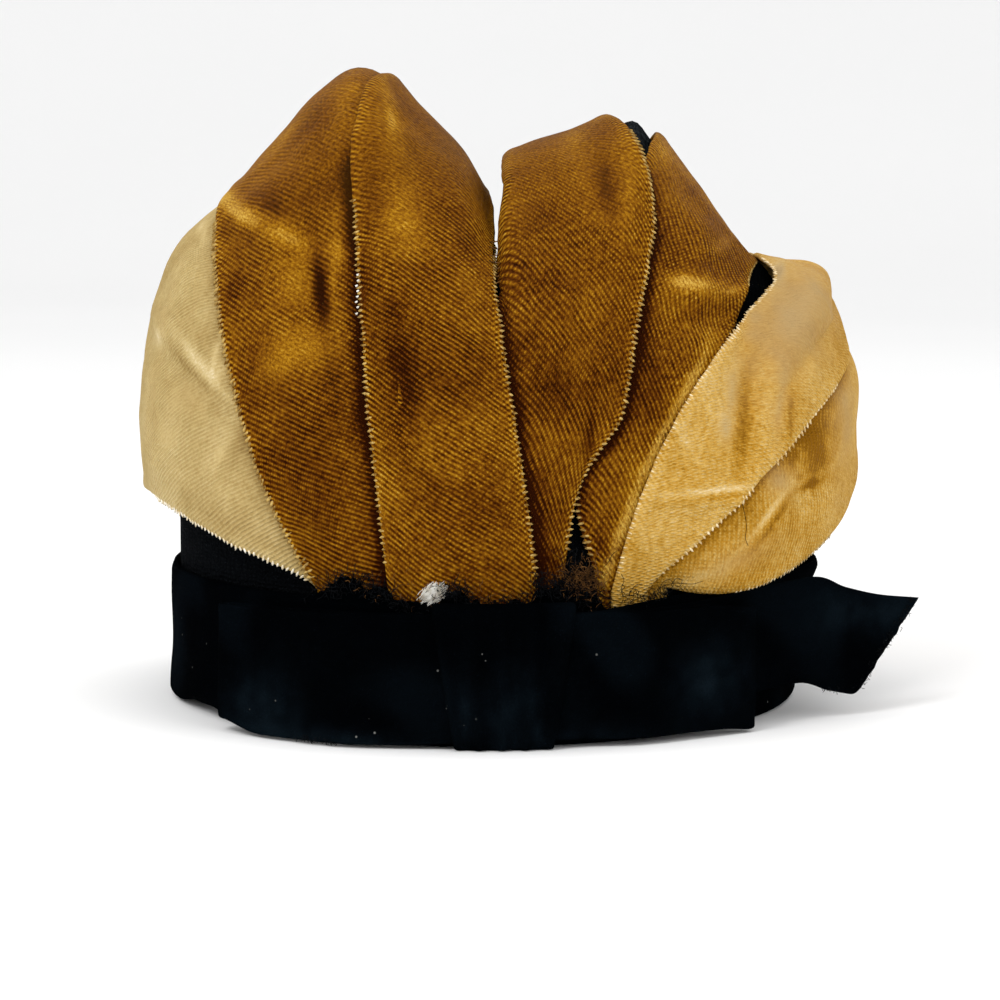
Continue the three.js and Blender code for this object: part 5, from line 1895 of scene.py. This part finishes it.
    def ragged_strip(self) -> None:
        """The torn cloth that stands behind the bow and hides the petals' feet."""
        places, tops = zip(*self.ragged_top)
        x = np.linspace(places[0], places[-1], 420)
        fine = np.stack([x, x * 0, x * 0], axis=-1)
        top = Curve(places, tops)(x)
        for rag in self.rags:
            top = top + dented(fine, rag)
        levels = np.array([0.0, 0.04, 0.3, 0.6, 0.85, 0.97, 1.0])
        z = self.ragged_foot + (top[:, None] - self.ragged_foot) * levels[None, :]
        flat = together(x[:, None], self.plan(x)[:, None], z)
        lumps = dented(flat, self.lumps)
        half = np.where((levels == 0) | (levels == 1), 0.0, self.ragged_half)[None, :]
        out = np.array([0.0, 1.0, 0.0])
        sides = [flat + out * (lumps - half)[..., None], flat + out * (lumps + half)[..., None]]
        rings = section(*sides)
        cloth, smooth = ring_values(flat[..., (0, 2)]), np.zeros(rings.shape[:-1])
        faces = tube_faces(len(x), rings.shape[1], False)
        made = self.shop.mesh("ragged_backing", rings, faces, {"cloth": cloth}, {"worn": smooth})
        settle_normals(made)
        self.shop.dress(made, BLACK, BLACK_SLOT)

    def hair(self, rng: np.random.Generator, start: np.ndarray, tuft: Thicket) -> np.ndarray:
        """A short curled hair that starts at a point."""
        heading = unit(np.array(tuft.heading) + rng.normal(0, tuft.stray, 3) * np.array([1.0, 0.4, 1.0]))
        size = tuft.length * rng.uniform(0.5, 1.2)
        point, path = start.copy(), []
        for _ in range(self.hair_points):
            path.append(np.maximum(point, (-1.0, -1.0, self.floor)))
            heading = unit(heading + rng.normal(0, self.curl, 3))
            point = point + heading * size / (self.hair_points - 1)
        return np.array(path)

    def hairs(
        self, name: str, tufts: Iterable[Thicket], finish: Thread, rng: np.random.Generator, radius: float,
    ) -> None:
        """One object with the hairs of several thickets. A y of 0 means in front of the petals' feet."""
        paths = []
        for tuft in tufts:
            start, end = np.array(tuft.start), np.array(tuft.end)
            for _ in range(tuft.count):
                place = start + (end - start) * rng.uniform(0, 1)
                place = place + rng.normal(0, 1, 3) * np.array(tuft.scatter)
                if tuft.start[1] == 0:
                    place[1] = self.plan(place[0]) - rng.uniform(-0.0003, 0.0012)
                paths.append(self.hair(rng, place, tuft))
        self.fibres.tubes(name, paths, finish, radius)
        log.info("%s: %d", name, len(paths))

    def tuft(self, rng: np.random.Generator) -> None:
        """The small white tuft at the foot of the front petal."""
        x, z = self.tuft_at
        root, scatter = np.array([x, self.plan(x) - 0.0005, z]), np.array([0.0011, 0.0004, 0.0008])
        share = np.linspace(0, 1, 6)[:, None]
        paths = []
        for _ in range(self.tuft_count):
            lean = rng.normal(0, 0.26, 2)
            heading = unit(np.array([0.75 + lean[0], -0.10 + 0.25 * lean[1], 0.75]))
            start = root + rng.normal(0, 1, 3) * scatter
            size = rng.uniform(0.0022, 0.0036)
            curl = rng.normal(0, 0.00018, (6, 3))
            paths.append(start + heading * size * share + curl * share)
        self.fibres.tubes("white_tuft", paths, WHITE_THREAD, 0.00010)

    def sewing(self) -> None:
        """Loose threads on the petals, the stitches of the slit and the specks where two petals meet."""
        paths = []
        for thread in self.threads:
            line = np.array(thread)
            even = np.linspace(0, len(line) - 1, 5 * len(line))
            xs, zs = (Curve(range(len(line)), line[:, k])(even) for k in (0, 1))
            paths.append(np.array([self.fan.spot(x, z, 0.0040) for x, z in zip(xs, zs)]))
        self.fibres.tubes("loose_threads", paths, BLACK_THREAD, 0.00009)
        across = np.linspace(0, 1, 5)
        paths = []
        for k, (left, right, z) in enumerate(self.stitches):
            lean = 0.0006 * (-1) ** k
            sag = 0.0003 * np.sin(math.pi * across)
            paths.append(together(
                0.0020 + 0.0030 * across, left - 0.0010 + (right - left) * across,
                z + lean * (across - 0.5) - sag,
            ))
        self.fibres.tubes("slit_stitches", paths, BROWN_FLUFF, 0.00020)
        paths = []
        for k, z in enumerate(self.specks):
            x = -0.0303 + 0.0002 * math.sin(k * 2.3)
            start = self.fan.spot(x, z, 0.0062)
            paths.append(start + np.array([0.0003, 0.0, 0.0002]) * np.linspace(-1, 1, 4)[:, None])
        self.fibres.tubes("seam_specks", paths, WHITE_THREAD, 0.00030)


# Studio


@dataclass(frozen=True)
class Lamp:
    """A soft square lamp: its place from the hat, its size and its power."""

    name: str
    place: Place
    size: float
    power: float
    color: Color = (1.0, 1.0, 1.0)


@dataclass
class Studio:
    """A pale seamless floor, soft light, and the camera at the photograph's angle."""

    shop: Workshop
    aim: Place = (0.0048, 0.0, 0.0527)
    distance: float = 1.0
    elevation: float = 6.0
    lens: float = 128.83
    lamps: tuple[Lamp, ...] = records(Lamp, (
        ("key_light", (-0.70, -1.00, 1.10), 0.55, 10.0), ("fill_light", (0.95, -0.95, 0.55), 0.90, 3.0),
        ("top_light", (0.05, 0.25, 1.35), 0.80, 4.0),
    ))
    sky: float = 0.95
    floor_sides: int = 72
    floor_rings: int = 24
    level_share: float = 0.35
    level_radius: float = 2.2
    bowl: float = 1.6

    def build(self) -> None:
        """Build the floor, the light and the camera."""
        self.floor()
        self.light()
        self.camera()

    def floor(self) -> None:
        """A shallow bowl: level under the hat, rising smoothly far outside it."""
        segments, profile = self.floor_sides, []
        for t in np.arange(self.floor_rings) / (self.floor_rings - 1):
            if t < self.level_share:
                profile.append((self.level_radius * t / self.level_share, 0.0))
            else:
                turn = (t - self.level_share) / (1 - self.level_share) * math.pi / 2
                out, up = self.bowl * math.sin(turn), self.bowl * (1 - math.cos(turn))
                profile.append((self.level_radius + out, up))
        points = [(0.0, 0.0, 0.0)]
        for radius, z in profile[1:]:
            turns = [math.tau * i / segments for i in range(segments)]
            points += [(radius * math.cos(turn), radius * math.sin(turn), z) for turn in turns]
        faces = [(0, 1 + i, 1 + (i + 1) % segments) for i in range(segments)]
        for j in range(len(profile) - 2):
            a, b = 1 + j * segments, 1 + (j + 1) * segments
            faces += [(a + i, b + i, b + (i + 1) % segments, a + (i + 1) % segments) for i in range(segments)]
        made = self.shop.mesh("studio_floor", np.array(points), faces)
        s = Shader("pale_floor")
        tone = s.noise(0.5, 2.0).between(0.2, 0.8)
        color = s.blend(tone, (0.92, 0.92, 0.92), (0.94, 0.94, 0.94))
        made.data.materials.append(s.finish(base_color=color, roughness=0.9, specular_ior_level=0.1))

    def light(self) -> None:
        """Soft lamps and an even sky."""
        for lamp in self.lamps:
            data = bpy.data.lights.new(lamp.name, "AREA")
            data.shape, data.size, data.energy, data.color = "SQUARE", lamp.size, lamp.power, lamp.color
            made = bpy.data.objects.new(lamp.name, data)
            made.location = self.shop.axis + Vector(lamp.place)
            target = self.shop.axis + Vector((0, 0, 0.08))
            made.rotation_euler = (target - made.location).to_track_quat("-Z", "Y").to_euler()
            bpy.context.scene.collection.objects.link(made)
        world = bpy.data.worlds.new("studio")
        world.use_nodes = True
        background = world.node_tree.nodes["Background"]
        background.inputs[0].default_value = (1.0, 1.0, 1.0, 1.0)
        background.inputs[1].default_value = self.sky
        bpy.context.scene.world = world
        bpy.context.scene.view_settings.view_transform = "Standard"

    def camera(self) -> None:
        """The camera, a little above level and straight in front."""
        data = bpy.data.cameras.new("camera")
        data.lens, data.sensor_width = self.lens, 36.0
        data.clip_start, data.clip_end = 0.05, 50.0
        made = bpy.data.objects.new("camera", data)
        turn = math.radians(self.elevation)
        back = Vector((0.0, -math.cos(turn), math.sin(turn))) * self.distance
        made.location = self.shop.axis + Vector(self.aim) + back
        made.rotation_euler = (math.pi / 2 - turn, 0.0, 0.0)
        bpy.context.scene.collection.objects.link(made)
        bpy.context.scene.camera = made


def main() -> None:
    """Load the frame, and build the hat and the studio."""
    logging.basicConfig(level=logging.INFO, format="%(message)s")
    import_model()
    shop = Workshop()
    Studio(shop).build()
    Crown(shop).build()
    Band(shop).build()
    fan = Fan(FAN_ROWS)
    petals = PetalMaker(shop, fan)
    for petal in PETALS:
        petals.build(petal)
    Bow(shop).build()
    Fraying(shop, fan, Fibres(shop)).build()


if __name__ == "__main__":
    main()
